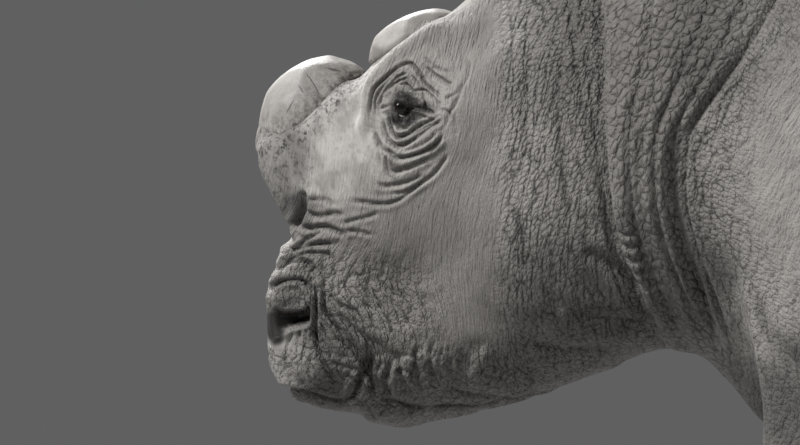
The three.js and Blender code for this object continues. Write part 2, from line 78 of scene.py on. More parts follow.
# ---- Flesh -----------------------------------------------------------------------------------------------
# The whole body under the hide: head, jaw, neck, barrel, tail, ears, legs and feet grown together into one
# closed form, evened out until no flat is left. The ears and the tail are evened only a little.
FEET = ["front_left", "front_right", "hind_left", "hind_right"]
FLESH = ["head", "lower_jaw", "neck", "trunk", "tail", "ear_left", "ear_right"]
FLESH += [part + foot for part in ("leg_", "foot_") for foot in FEET]
CORES = ["horn_front_stump", "horn_rear_stump", "eye_left", "eye_right"]
CORE = 0.9                 # the flesh under each horn stump and over each eye, as a share of it
GROWTH = 1.5 * MM          # closes the thin partings between the solids
WELD = 0.01 * MM           # corners nearer than this are one
CELL = 6 * MM              # spacing of the body's mesh
EVEN_STEPS = 130
EVEN_FACTOR = 0.6


def only(piece):
    """Selects one piece and makes it the active one."""
    bpy.ops.object.select_all(action="DESELECT")
    piece.select_set(True)
    bpy.context.view_layer.objects.active = piece


def apply_modifiers(piece):
    """Applies the piece's modifiers in their order."""
    only(piece)
    for modifier in list(piece.modifiers):
        bpy.ops.object.modifier_apply(modifier=modifier.name)


def places(piece):
    """Every vertex's place, one row each."""
    flat = np.empty(len(piece.data.vertices) * 3, np.float32)
    piece.data.vertices.foreach_get("co", flat)
    return flat.reshape(-1, 3).astype(float)


def directions(piece):
    """Every vertex's normal, one row each."""
    flat = np.empty(len(piece.data.vertices) * 3, np.float32)
    piece.data.vertex_normals.foreach_get("vector", flat)
    return flat.reshape(-1, 3).astype(float)


def put(piece, co):
    """Moves every vertex to its row's place."""
    piece.data.vertices.foreach_set("co", co.astype(np.float32).ravel())
    piece.data.update()


def step(x, low, high):
    """0 below low, 1 above high, and a smooth rise between them."""
    t = np.clip((x - low) / (high - low), 0, 1)
    return t * t * (3 - 2 * t)


def bump(x, middle, width):
    """1 at the middle, falling off to each side."""
    return np.exp(-(((x - middle) / width) ** 2))


def copied(name, node):
    """A copy of one solid of the frame, as a piece of its own."""
    made = bpy.data.objects.new(name, frame["nodes"][node].data.copy())
    bpy.context.scene.collection.objects.link(made)
    return made


def closed(piece, cell, growth=0.0):
    """Closes the piece into one mesh of even cells, grown by this much before."""
    only(piece)
    bpy.ops.object.mode_set(mode="EDIT")
    bpy.ops.mesh.select_all(action="SELECT")
    bpy.ops.mesh.remove_doubles(threshold=WELD)
    if growth:
        bpy.ops.transform.shrink_fatten(value=growth)
    bpy.ops.object.mode_set(mode="OBJECT")
    remesh = piece.modifiers.new("closed", "REMESH")
    remesh.mode = "VOXEL"
    remesh.voxel_size = cell
    apply_modifiers(piece)


def grown_together(name, nodes, cores):
    """One closed mesh of all these solids, and of a smaller core of each of the others."""
    pieces = [copied(name, node) for node in nodes + cores]
    for core, node in zip(pieces[len(nodes):], cores):
        middle = np.array(sum(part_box(node), Vector())) / 2
        put(core, middle + (places(core) - middle) * CORE)
    bpy.ops.object.select_all(action="DESELECT")
    for piece in pieces:
        piece.select_set(True)
    bpy.context.view_layer.objects.active = pieces[0]
    bpy.ops.object.join()
    closed(pieces[0], CELL, GROWTH)
    return pieces[0]


EYE_LOW, EYE_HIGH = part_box("eye_left")
EYE = (EYE_LOW + EYE_HIGH) / 2
EYEBALL = (EYE_HIGH.z - EYE_LOW.z) / 2 / MM
SLANT = math.radians(25)   # the cheek's own slant away from the body's length


def side_of(co):
    """-1 on the animal's left and 1 on its right."""
    return np.where(co[:, 1] < 0, -1.0, 1.0)


def chart(co):
    """Millimetres behind and above the eye's middle, on the cheek's plane. Both sides read alike."""
    back = math.cos(SLANT) * (co[:, 0] - EYE.x) - math.sin(SLANT) * (np.abs(co[:, 1]) - abs(EYE.y))
    return np.stack([back, co[:, 2] - EYE.z], 1) / MM


def facing(co, normal):
    """How squarely the surface looks out of that plane, from 1 to -1."""
    return math.sin(SLANT) * normal[:, 0] + math.cos(SLANT) * side_of(co) * normal[:, 1]


def near(co, node, reach):
    """1 on a solid of the frame, falling to 0 at that reach from its vertices."""
    low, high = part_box(node)
    inside = ((co > np.array(low) - reach) & (co < np.array(high) + reach)).all(1)
    spots = places(frame["nodes"][node])
    found = np.zeros(len(co))
    rows = np.flatnonzero(inside)
    for part in np.array_split(rows, max(1, len(rows) // 4000)):
        gap = np.linalg.norm(co[part, None] - spots[None], axis=2).min(1)
        found[part] = 1 - step(gap, 0.4 * reach, reach)
    return found


def keep_largest(piece):
    """Removes the small pockets that lie closed inside."""
    only(piece)
    bpy.ops.object.mode_set(mode="EDIT")
    mesh = bmesh.from_edit_mesh(piece.data)
    bpy.ops.mesh.select_all(action="DESELECT")
    max(mesh.verts, key=lambda v: v.co.z).select = True
    bmesh.update_edit_mesh(piece.data)
    bpy.ops.mesh.select_linked()
    bpy.ops.mesh.select_all(action="INVERT")
    bpy.ops.mesh.delete(type="VERT")
    bpy.ops.object.mode_set(mode="OBJECT")


def evened(piece, strength, steps):
    """Evens the surface, each vertex by its own strength."""
    group = piece.vertex_groups.new(name="even")
    levels = np.round(np.clip(strength, 0, 1) * 50).astype(int)
    for level in np.unique(levels):
        group.add(np.flatnonzero(levels == level).tolist(), level / 50, "REPLACE")
    smooth = piece.modifiers.new("even", "SMOOTH")
    smooth.factor = EVEN_FACTOR
    smooth.iterations = steps
    smooth.vertex_group = "even"
    apply_modifiers(piece)
    piece.vertex_groups.remove(piece.vertex_groups["even"])


def evenness(co):
    """The barrel is evened most, the face little, and thin parts hardly at all."""
    strength = 0.12 + 0.88 * step(chart(co)[:, 0], 150, 600)
    strength *= 1 - 0.7 * (1 - step(co[:, 2], 0.5, 0.85))
    strength *= 1 - 0.75 * (1 - step(co[:, 2], 0.12, 0.25))
    for ear in ("ear_left", "ear_right"):
        strength *= 1 - 0.98 * near(co, ear, 45 * MM)
    return strength * (1 - 0.97 * near(co, "tail", 60 * MM))


skin = grown_together("skin", FLESH, CORES)
keep_largest(skin)
evened(skin, evenness(places(skin)), EVEN_STEPS)


# ---- The grain of the hide ---------------------------------------------------------------------------------
# Creases, cobbles and streaks all follow the way the hide is pulled: round the eye, down the cheek, up and
# down the neck, and across the legs. The lean of the grain is stated at a few places and evened out between.
GRAIN = [  # millimetres behind and above the eye, and the lean in degrees: 0 upright, 90 lying back
    (21, -112, 30), (-53, -199, 42), (62, -185, -10), (122, -220, -22), (38, -262, -34), (21, -361, 12),
    (94, -17, -12), (164, 11, -16), (52, -100, -6), (84, -143, -20), (122, 109, 0), (-102, -59, 12),
    (-144, -199, 74), (-102, -283, -38), (-158, -367, 18), (-90, -400, 60), (-30, 60, 45), (-45, -20, 0),
    (10, -75, 70),
    (-180, -50, 20), (220, -59, -18), (346, -31, 16), (350, 90, 12), (382, -190, -12), (350, -300, -34),
    (250, -300, -45), (472, -59, 46), (520, 30, 64), (528, -157, 34), (560, -300, 60), (480, -330, -10),
    (620, -500, 82), (620, -900, 90), (750, 100, 12), (700, -250, 40), (1000, 100, 4), (1000, -300, 0),
    (1400, 100, 0), (1400, -350, 0), (1800, 100, -4), (1800, -350, -8), (1950, -700, 70), (2050, -1000, 90),
    (2200, 50, -14), (2300, -350, -30), (2450, -100, -20),
]
GRAIN_LOW = (-600, -1500)  # the chart's lower corner, in millimetres
GRAIN_CELL = 12
GRAIN_SIZE = (320, 200)
GRAIN_REACH = 30           # places nearer than this to one another share their lean


def lean_of_grain():
    """The lean at each cell of the chart, in radians, from the stated places."""
    across = GRAIN_LOW[0] + GRAIN_CELL * np.arange(GRAIN_SIZE[0])
    up = GRAIN_LOW[1] + GRAIN_CELL * np.arange(GRAIN_SIZE[1])
    across, up = np.meshgrid(across, up, indexing="ij")
    total = np.zeros((2,) + GRAIN_SIZE)
    for x, z, lean in GRAIN:
        weight = ((across - x) ** 2 + (up - z) ** 2 + GRAIN_REACH**2) ** -1.7
        turn = math.radians(lean)
        total += weight * np.array([math.cos(turn), math.sin(turn)])[:, None, None]
    return np.arctan2(total[1], total[0])


def flattened(gradient):
    """The field whose slopes come nearest to these, solved over the whole chart at once."""
    mean = gradient.mean((1, 2))
    kx = 2j * np.pi * np.fft.fftfreq(GRAIN_SIZE[0], GRAIN_CELL)[:, None]
    kz = 2j * np.pi * np.fft.fftfreq(GRAIN_SIZE[1], GRAIN_CELL)[None, :]
    square = kx**2 + kz**2
    square[0, 0] = 1
    slopes = np.fft.fft2(gradient - mean[:, None, None])
    field = np.fft.ifft2((kx * slopes[0] + kz * slopes[1]) / square).real
    rows = GRAIN_CELL * np.arange(GRAIN_SIZE[0])[:, None]
    columns = GRAIN_CELL * np.arange(GRAIN_SIZE[1])[None, :]
    return field + mean[0] * rows + mean[1] * columns


def on_chart(field, at):
    """The field's value at these places of the chart."""
    spot = (at - np.array(GRAIN_LOW)) / GRAIN_CELL
    spot = np.clip(spot, 0, np.array(GRAIN_SIZE) - 1.001)
    i, j = spot.astype(int).T
    s, t = (spot - np.floor(spot)).T
    low = field[i, j] * (1 - s) + field[i + 1, j] * s
    high = field[i, j + 1] * (1 - s) + field[i + 1, j + 1] * s
    return low * (1 - t) + high * t


lean = lean_of_grain()
ACROSS_GRAIN = flattened(np.stack([np.cos(lean), -np.sin(lean)]))
ALONG_GRAIN = flattened(np.stack([np.sin(lean), np.cos(lean)]))


def grain(co):
    """Millimetres across the grain, along it, and out to the side."""
    at = chart(co)
    return np.stack([on_chart(ACROSS_GRAIN, at), on_chart(ALONG_GRAIN, at), co[:, 1] / MM], 1)


def scatter(cell, seed):
    """An even random number from 0 to 1 for each whole-numbered cell."""
    i, j, k = cell.astype(np.int64).T
    mixed = (i * 374761393 + j * 668265263 + k * 1440662683 + seed * 974634777) & 0xFFFFFFFF
    mixed = ((mixed ^ (mixed >> 13)) * 1274126177) & 0xFFFFFFFF
    mixed = ((mixed ^ (mixed >> 15)) * 2246822519) & 0xFFFFFFFF
    return ((mixed ^ (mixed >> 16)) & 0xFFFFFF) / 0xFFFFFF


def clouds(at, seed):
    """Soft random hills, from -1 to 1, one cell across."""
    cell = np.floor(at)
    t = at - cell
    t = t * t * t * (t * (6 * t - 15) + 10)
    total = np.zeros(len(at))
    for corner in np.ndindex(2, 2, 2):
        share = np.prod(np.where(corner, t, 1 - t), axis=1)
        total += share * scatter(cell + corner, seed)
    return 2 * total - 1


def cobbles(at, seed):
    """Pillows one cell across: 1 in the middle of each and 0 along the lines between them."""
    cell = np.floor(at)
    first = np.full(len(at), 9.0)
    second = first.copy()
    for offset in np.ndindex(3, 3, 3):
        there = cell + offset - 1
        spot = there + 0.15 + 0.7 * np.stack([scatter(there, seed + n) for n in range(3)], 1)
        gap = ((spot - at) ** 2).sum(1)
        second = np.where(gap < first, first, np.minimum(second, gap))
        first = np.minimum(first, gap)
    return np.clip((np.sqrt(second) - np.sqrt(first)) * 2.2, 0, 1)


# ---- Folds -------------------------------------------------------------------------------------------------
# The folds of a white rhinoceros round the eye, on the muzzle, at the throat and round the limbs, pressed
# into the flesh as clefts with rounded flesh to each side. Both sides of the animal have them. Each is its
# depth and half width, then the places it passes, in millimetres behind and above the eye.
EYE_FOLDS = [
    (4.5, 2.0, [(-45, -14), (-45, 2), (-43, 17), (-38, 29), (-25, 41), (-13, 52), (-3, 59), (8, 63), (15, 60),
                (24, 48), (34, 32), (48, 20), (60, 10)]),
    (3.4, 1.7, [(-38, -14), (-38, -3), (-38, 10), (-31, 25), (-18, 41), (-6, 52), (8, 55)]),
    (2.8, 1.6, [(-32, -1), (-29, 17), (-18, 32), (-4, 45), (10, 51)]),
    (2.4, 1.4, [(-24, 11), (-22, 23), (-12, 34), (-1, 42)]),
    (2.6, 1.4, [(-18, 15), (-15, 29), (-3, 39), (8, 43)]),
    (3.0, 1.6, [(10, 48), (18, 39), (27, 24), (31, 6), (38, -6), (46, -10)]),
    (3.2, 1.6, [(15, 24), (25, 25), (34, 24), (45, 13), (52, 3)]),
    (2.6, 1.4, [(3, 36), (15, 24), (22, 17)]),
    (3.4, 1.6, [(-31, -1), (-25, 2), (-18, 6)]),
    (5.5, 2.2, [(18, 3), (27, -1), (34, -3), (46, -9)]),
    (5.0, 2.0, [(-17, -3), (-12, -19), (-6, -27), (6, -28), (13, -20), (27, -13), (42, -11)]),
    (6.0, 2.5, [(-23, 0), (-18, -19), (-11, -38), (-3, -41), (9, -36), (22, -27), (45, -15), (53, -8)]),
    (6.0, 2.6, [(-27, -10), (-24, -31), (-17, -46), (-4, -53), (13, -45), (38, -27), (59, -15)]),
    (2.6, 1.7, [(-10, -46), (6, -42), (24, -32), (46, -19)]),
    (3.4, 2.2, [(-39, -31), (-32, -52), (-26, -70)]),
    (5.0, 2.5, [(-36, -33), (-28, -56), (-18, -61), (-8, -70), (9, -68), (30, -61), (47, -51), (59, -33)]),
    (2.6, 1.9, [(-4, -61), (12, -58), (32, -49), (50, -33)]),
    (4.4, 2.5, [(-18, -84), (-10, -89), (7, -84), (24, -76), (42, -68)]),
    (3.0, 2.2, [(-24, -64), (-21, -89), (-16, -101)]),
    (2.6, 2.0, [(-37, -34), (-33, -62), (-30, -88)]),
    (4.0, 2.5, [(-38, -102), (-28, -109), (-8, -107), (12, -102), (32, -92)]),
    (3.4, 2.4, [(-20, -122), (0, -118), (20, -109), (44, -92), (66, -62)]),
    (4.0, 2.5, [(-78, -129), (-58, -131), (-38, -134), (-21, -134), (-3, -127), (14, -114), (37, -94)]),
    (3.0, 2.4, [(-86, -162), (-68, -157), (-48, -152), (-33, -147)]),
    (3.0, 2.4, [(-78, -172), (-58, -174), (-43, -179)]),
    (2.6, 2.2, [(59, -33), (65, -8), (72, 2), (82, 26), (92, 51), (94, 76)]),
    (2.6, 1.9, [(57, 11), (67, 16), (76, 21), (84, 34)]),
    (2.4, 1.9, [(50, -2), (62, -6), (72, -20), (76, -40)]),
    (3.4, 2.5, [(32, 59), (42, 49), (52, 41), (64, 34), (69, 37)]),
    (2.4, 2.2, [(28, 74), (40, 60), (54, 52), (70, 50)]),
]
MUZZLE_FOLDS = [
    (11.0, 4.4, [(-143, -112), (-141, -133), (-143, -147), (-148, -159), (-157, -169)]),
    (5.5, 3.0, [(-150, -165), (-127, -169), (-113, -166), (-95, -171), (-80, -179)]),
    (4.4, 2.8, [(-138, -140), (-133, -147), (-115, -151), (-96, -147), (-81, -151)]),
    (3.4, 2.6, [(-133, -130), (-123, -127), (-106, -129), (-96, -138)]),
    (4.2, 2.6, [(-148, -194), (-137, -186), (-127, -180), (-113, -171)]),
    (6.0, 3.0, [(-176, -208), (-147, -197), (-127, -192), (-103, -190), (-94, -194)]),
    (5.4, 2.8, [(-174, -220), (-147, -207), (-131, -203), (-108, -204), (-99, -214)]),
    (7.5, 3.4, [(-182, -230), (-163, -218), (-146, -215), (-132, -219), (-120, -234)]),
    (5.5, 2.8, [(-188, -255), (-170, -244), (-150, -241), (-136, -246), (-127, -260)]),
    (5.0, 2.2, [(-134, -232), (-129, -244), (-130, -269), (-131, -304)]),
    (6.5, 2.4, [(-126, -236), (-122, -262), (-122, -285), (-122, -311), (-120, -332), (-115, -350),
                (-98, -375), (-87, -386)]),
    (6.0, 2.5, [(-113, -242), (-110, -269), (-108, -285), (-95, -302), (-73, -330), (-56, -347),
                (-47, -364)]),
    (3.6, 2.6, [(-109, -255), (-98, -269), (-87, -277), (-59, -288)]),
    (3.4, 2.8, [(-98, -288), (-80, -300), (-58, -318), (-40, -330)]),
    (5.4, 2.8, [(-98, -319), (-81, -333), (-67, -347), (-50, -367)]),
    (2.6, 2.6, [(-106, -358), (-92, -361), (-78, -364), (-56, -369)]),
    (3.6, 2.6, [(-116, -217), (-110, -236), (-113, -255)]),
    (2.4, 2.0, [(-143, -311), (-147, -327), (-150, -350)]),
    (2.4, 2.0, [(-134, -308), (-136, -332), (-140, -358)]),
    (2.4, 2.0, [(-155, -316), (-162, -333), (-165, -358)]),
    (2.0, 2.0, [(-126, -340), (-132, -362), (-128, -384)]),
    (7.0, 4.4, [(-54, -376), (-46, -364), (-45, -347)]),
    (2.6, 2.4, [(-78, -372), (-70, -384), (-72, -398)]),
    (4.8, 3.2, [(-45, -368), (-42, -395), (-39, -410)]),
    (4.2, 2.8, [(-67, -409), (-50, -420), (-39, -441)]),
    (3.8, 2.8, [(-36, -435), (-25, -425), (-14, -420)]),
    (3.0, 2.8, [(-32, -358), (-37, -378), (-30, -396)]),
    (3.4, 3.0, [(-12, -350), (-20, -372), (-24, -390), (-12, -408)]),
    (3.0, 3.0, [(-3, -340), (-5, -362), (4, -386), (18, -404)]),
    (3.2, 3.0, [(24, -330), (18, -352), (22, -384), (30, -404)]),
    (2.8, 3.0, [(46, -322), (39, -350), (44, -376), (58, -396)]),
    (2.4, 3.0, [(70, -346), (66, -366), (80, -390)]),
    (2.4, 2.6, [(-10, -372), (2, -368), (16, -372)]),
    (2.2, 2.6, [(22, -386), (34, -380), (46, -384)]),
    (6.0, 4.4, [(-32, -409), (-11, -413), (13, -420), (34, -421)]),
    (5.0, 4.6, [(34, -421), (70, -418), (108, -418), (146, -409)]),
    (4.0, 5.0, [(59, -384), (72, -394), (94, -402), (122, -404), (162, -407), (199, -392)]),
]
MOUTH = (9.0, 3.6, [(-188, -393), (-150, -398), (-130, -402), (-109, -409), (-88, -413), (-74, -409),
                    (-64, -396), (-60, -382), (-52, -368)])
BODY_FOLDS = [
    (9.0, 8.0, [(241, -287), (283, -297), (353, -298)]),
    (8.0, 8.0, [(178, -329), (220, -339), (290, -337)]),
    (3.0, 2.6, [(296, -172), (310, -176), (324, -173)]),
    (3.0, 2.6, [(300, -188), (316, -193), (332, -190)]),
    (3.0, 2.6, [(306, -206), (324, -211), (342, -207)]),
    (3.0, 2.6, [(314, -224), (332, -229), (352, -225)]),
    (3.0, 2.6, [(324, -243), (342, -248), (362, -243)]),
    (5.0, 7.0, [(157, -136), (170, -199), (192, -248), (227, -290)]),
    (6.0, 8.0, [(248, -196), (290, -220), (332, -255)]),
    (5.0, 6.0, [(220, 95), (214, -3), (223, -101), (237, -185)]),
    (4.0, 5.0, [(178, 109), (170, 11), (175, -87)]),
    (4.0, 6.0, [(332, -17), (321, -101), (332, -171), (357, -241)]),
    (9.0, 8.0, [(384, -3), (374, -80), (377, -143), (402, -227), (423, -297), (440, -341)]),
    (7.0, 10.0, [(478, -240), (486, -290), (506, -330), (545, -356), (610, -376), (700, -380)]),
    (9.0, 20.0, [(905, -560), (880, -440), (885, -300), (900, -160)]),
    (10.0, 24.0, [(1780, -600), (1750, -460), (1770, -320), (1810, -200)]),
    (7.0, 18.0, [(1720, -560), (1690, -440), (1700, -330)]),
    (8.0, 18.0, [(440, -520), (540, -560), (650, -560), (760, -520)]),
    (6.0, 16.0, [(1960, -560), (2080, -590), (2200, -540)]),
    (7.0, 22.0, [(2310, -30), (2330, -180), (2300, -340), (2230, -470)]),
]
COLLAR_FRONT = [(272, 235), (272, 67), (273, -3), (279, -87), (289, -164), (311, -227), (346, -294),
                (371, -332)]
COLLAR_BACK = [(556, 235), (479, 95), (437, 32), (405, -14), (388, -52), (387, -129), (402, -192),
               (433, -269), (465, -339)]
COLLAR_HIGH = 14           # how far the roll between the two neck folds stands out
COLLAR_CREASES = [-0.17, -0.08, 0.3, 0.62, 0.82]   # shares of the way from the front fold to the back one
AROUND_EYE = ((8, -20), (100, 120))                # an oval of the chart: its middle and its half sizes


def curve_through(points, spacing=4.0):
    """A smooth line through the points, as closely spaced places."""
    points = np.array(points, float)
    ends = np.vstack([2 * points[0] - points[1], points, 2 * points[-1] - points[-2]])
    line = []
    for a, b, c, d in zip(ends, ends[1:], ends[2:], ends[3:]):
        count = max(2, int(np.linalg.norm(c - b) / spacing))
        t = np.arange(count)[:, None] / count
        square = (2 * a - 5 * b + 4 * c - d) * t**2
        cube = (3 * b - a - 3 * c + d) * t**3
        line.append(0.5 * (2 * b + (c - a) * t + square + cube))
    return np.vstack(line + [points[-1:]])


def between_folds(share):
    """A line that keeps this share of the way from the front neck fold to the back one."""
    levels = np.linspace(220, -330, 12)
    front, back = (np.array(curve_through(line, 20)) for line in (COLLAR_FRONT, COLLAR_BACK))
    first, last = (np.interp(-levels, -line[:, 1], line[:, 0]) for line in (front, back))
    return np.column_stack([first + share * (last - first), levels])


def off_line(at, line):
    """The distance of each place from the line, and how far along it the nearest point lies, from 0 to 1."""
    gap = np.full(len(at), 1e9)
    along = np.zeros(len(at))
    for n, (a, b) in enumerate(zip(line, line[1:])):
        way = b - a
        t = np.clip((at - a) @ way / (way @ way), 0, 1)
        here = np.linalg.norm(at - a - t[:, None] * way, axis=1)
        closer = here < gap
        gap[closer] = here[closer]
        along[closer] = (n + t[closer]) / (len(line) - 1)
    return gap, along


def folded(at, folds):
    """The height these folds give each place, in millimetres, and how far it lies in a cleft, 0 to 1."""
    height = np.zeros(len(at))
    cleft = np.zeros(len(at))
    for deep, half, points in folds:
        line = curve_through(points)
        reach = 5 * half
        rows = np.flatnonzero(((at > line.min(0) - reach) & (at < line.max(0) + reach)).all(1))
        if len(rows):
            gap, along = off_line(at[rows], line)
            fade = step(along, 0, 0.14) * step(1 - along, 0, 0.14)
            here = fade * np.exp(-((gap / half) ** 1.4))
            height[rows] += deep * (0.38 * fade * bump(gap, 2.5 * half, 1.5 * half) - here)
            cleft[rows] = np.maximum(cleft[rows], here * min(1, deep / 5))
    return height, cleft


COLLAR_FOLDS = [(10.0, 5.5, COLLAR_FRONT), (6.0, 5.0, COLLAR_BACK)]
COLLAR_FOLDS += [(4.5, 3.4, between_folds(share)) for share in COLLAR_CREASES]


def zone(at, middle, half):
    """1 in the middle of an oval part of the chart, falling softly to 0 at its edge."""
    away = np.linalg.norm((at - np.array(middle)) / np.array(half), axis=1)
    return 1 - step(away, 0.45, 1.0)


def muzzle_zone(at):
    """1 on the muzzle and along the jaw."""
    return np.maximum(zone(at, (-90, -310), (200, 175)), zone(at, (60, -390), (230, 90)))


def collar_part(at):
    """How far back between the two neck folds each place lies, from 0 to 1, and 0 where there is no neck."""
    front, back = (np.array(curve_through(line, 20)) for line in (COLLAR_FRONT, COLLAR_BACK))
    edges = [np.interp(-at[:, 1], -line[:, 1], line[:, 0]) for line in (front, back)]
    return np.clip((at[:, 0] - edges[0]) / (edges[1] - edges[0]), 0, 1)


def collar_height(at):
    """The roll of hide between the neck folds, highest towards the front and lowest on the nape."""
    part = collar_part(at)
    rise = np.sin(np.pi * part**0.6) ** 0.8
    return COLLAR_HIGH * rise * step(350 - at[:, 1], 0, 260)


def creased(at, seed):
    """0 along wandering creases and 1 between them."""
    return 1 - (1 - np.abs(clouds(at, seed))) ** 5


def where(mask, height):
    """The mask times a height that is worked out only where the mask is above 0."""
    found = np.zeros(len(mask))
    rows = np.flatnonzero(mask > 0.01)
    found[rows] = mask[rows] * height(rows)
    return found


def parts_of(co, normal):
    """How much each place belongs to the face, the sides, the body, the neck, the legs and the muzzle."""
    at = chart(co)
    seen = step(facing(co, normal), -0.42, -0.12)
    face = seen * step(-co[:, 0], 0.95, 1.05)
    side = step(facing(co, normal), -0.05, 0.3)
    body = step(at[:, 0], 560, 760)
    neck = step(at[:, 0], 150, 260) * (1 - body)
    legs = 1 - step(co[:, 2], 0.55, 0.8)
    muzzle = muzzle_zone(at) * (1 - step(at[:, 0], 250, 330)) * (1 - zone(at, (-172, -308), (46, 42)))
    return face, side, body, neck, legs, muzzle


def hide_height(co, normal):
    """The height of every fold and wrinkle that has a shape of its own, in millimetres."""
    at = chart(co)
    lie = grain(co)
    face, side, body, neck, legs, muzzle = parts_of(co, normal)
    lips = step(facing(co, normal), -0.8, -0.55) * step(-co[:, 0], 0.95, 1.05)
    height = where(face, lambda n: folded(at[n], EYE_FOLDS + MUZZLE_FOLDS)[0])
    height += where(lips, lambda n: folded(at[n], [MOUTH])[0])
    height += where(side, lambda n: folded(at[n], BODY_FOLDS + COLLAR_FOLDS)[0])
    lids = face * zone(at, *AROUND_EYE) * (1 - zone(at, (0, 0), (30, 24)))
    wrinkles = [  # where they lie, their pattern, height and cell in millimetres, and the seed
        (body, creased, 2.0, (44, 130, 110), 2),
        (body * (1 - 0.5 * legs), creased, 4.5, (120, 330, 260), 1),
        (legs * step(co[:, 2], 0.1, 0.2), creased, 2.6, (34, 170, 120), 3),
        (neck, creased, 1.8, (44, 260, 150), 4),
        (neck, creased, 0.9, (17, 80, 60), 5),
        (muzzle, creased, 2.6, (19, 42, 34), 6),
        (muzzle, cobbles, 1.0, (11, 15, 14), 7),
        (lids, creased, 0.9, (8, 17, 14), 8),
    ]
    for mask, pattern, high, cell, seed in wrinkles:
        height += where(mask, lambda n: high * pattern(lie[n] / cell, seed))
    thin = [near(co, node, 55 * MM) for node in ("tail", "ear_left", "ear_right")]
    return height * (1 - 0.9 * np.maximum.reduce(thin))


# ---- Finer mesh where the face needs it --------------------------------------------------------------------
# The mesh is divided once where the face has fine folds and along the neck folds, and once more round the
# eyes and the nostrils.
HEAD_X = -1.0              # the head lies in front of this, in metres along the body
ROLL_X = -0.6              # and the neck's roll in front of this
NOSTRIL = (-158, -290)     # the middle of the nostril, behind and above the eye


def finer(piece, mask):
    """Divides the faces whose every corner is in the mask."""
    only(piece)
    loops = np.empty(len(piece.data.loops), np.int32)
    piece.data.loops.foreach_get("vertex_index", loops)
    starts = np.empty(len(piece.data.polygons), np.int32)
    piece.data.polygons.foreach_get("loop_start", starts)
    chosen = np.minimum.reduceat(mask[loops].astype(np.int8), starts) > 0
    bpy.ops.object.mode_set(mode="EDIT")
    bpy.context.tool_settings.mesh_select_mode = (False, False, True)
    bpy.ops.mesh.select_all(action="DESELECT")
    bpy.ops.object.mode_set(mode="OBJECT")
    piece.data.polygons.foreach_set("select", chosen)
    bpy.ops.object.mode_set(mode="EDIT")
    bpy.ops.mesh.subdivide(number_cuts=1)
    bpy.ops.object.mode_set(mode="OBJECT")


def face_zone(co):
    """The parts of the head that carry fine folds."""
    at = chart(co)
    eye = np.linalg.norm(at - [8, -20], axis=1) < 122
    muzzle = (at[:, 0] < 40) & (at[:, 1] < -100)
    jaw = (at[:, 0] < 190) & (at[:, 1] < -330)
    return (eye | muzzle | jaw) & (co[:, 0] < HEAD_X)


def fold_zone(co):
    """The roll of the neck and the strips along its two folds."""
    at = chart(co)
    gaps = [off_line(at, curve_through(line, 20))[0] for line in (COLLAR_FRONT, COLLAR_BACK)]
    part = collar_part(at)
    return ((np.minimum(*gaps) < 30) | ((part > 0) & (part < 1))) & (co[:, 0] < ROLL_X) & (at[:, 1] > -340)


def feature_zone(co):
    """The rims of the eyes and of the nostrils."""
    at = chart(co)
    eye = np.linalg.norm(at - [8, -2], axis=1) < 72
    nostril = np.linalg.norm((at - NOSTRIL) / [52, 62], axis=1) < 1
    return (eye | nostril) & (co[:, 0] < HEAD_X)


finer(skin, face_zone(places(skin)) | fold_zone(places(skin)))
finer(skin, feature_zone(places(skin)))
evened(skin, 1.0 * face_zone(places(skin)), 4)


# ---- The large forms, the eye openings and the nostrils ----------------------------------------------------
# The brow stands out in front of the eye and falls to a hollow beside the horns, and the nose is filled
# out under the horn. Each eye lies under a heavy upper lid, and each nostril is a hole under a rounded lobe.
RIDGES = [  # the height and half width of each ridge or hollow, then the places it passes
    (8.0, 9.0, [(-49, -61), (-48, -19), (-46, 18), (-40, 37), (-25, 55), (-4, 76), (32, 100), (58, 115),
                (84, 124)]),
    (9.0, 34.0, [(-16, -40), (-14, 16), (6, 44), (36, 66), (80, 90)]),
    (-6.0, 16.0, [(-76, -30), (-74, 20), (-62, 56), (-38, 84), (-10, 106), (20, 122)]),
    (7.0, 15.0, [(-58, 46), (-76, 30), (-117, -12), (-138, -33), (-166, -48), (-200, -55)]),
    (6.0, 15.0, [(-26, -46), (-10, -64), (12, -64), (36, -50), (54, -30)]),
    (4.0, 10.0, [(-6, 46), (10, 50), (26, 38), (44, 22)]),
    (2.4, 7.0, [(-190, -243), (-165, -239), (-138, -244)]),
    (4.0, 12.0, [(-196, -272), (-170, -266), (-142, -270)]),
    (4.0, 5.0, [(-186, -334), (-160, -317), (-136, -310)]),
    (4.0, 8.0, [(-126, -250), (-126, -280), (-126, -320)]),
    (-6.0, 28.0, [(-20, -330), (-40, -360), (-62, -372)]),
    (7.0, 22.0, [(-160, -360), (-128, -360), (-104, -385)]),
    (3.0, 10.0, [(-12, -355), (-10, -380), (-2, -396)]),
    (4.5, 11.0, [(10, -345), (8, -370), (18, -396)]),
    (4.0, 12.0, [(34, -340), (30, -365), (42, -392)]),
    (3.0, 12.0, [(58, -345), (55, -372), (66, -390)]),
    (7.0, 20.0, [(-56, -430), (-22, -440), (14, -436)]),
    (8.0, 26.0, [(90, -350), (130, -380), (190, -390)]),
]
NOSE_FILLED = [(-226, 0), (-212, 4), (-196, 18), (-176, 22), (-150, 14), (-110, 11), (-80, 18), (-55, 23),
               (-34, 14), (-8, 0)]  # the height above the eye, and how far the nose is filled out there
EYE_OPENING = [(-15, 6), (-8, 8), (0, 6), (9, 0), (18, -5), (11, -10), (4, -13.5), (-4, -13),
               (-10, -6)]
LID = 2.0                  # thickness of the lids over the ball
LID_REACH = 15             # how far from the opening the lids leave the ball
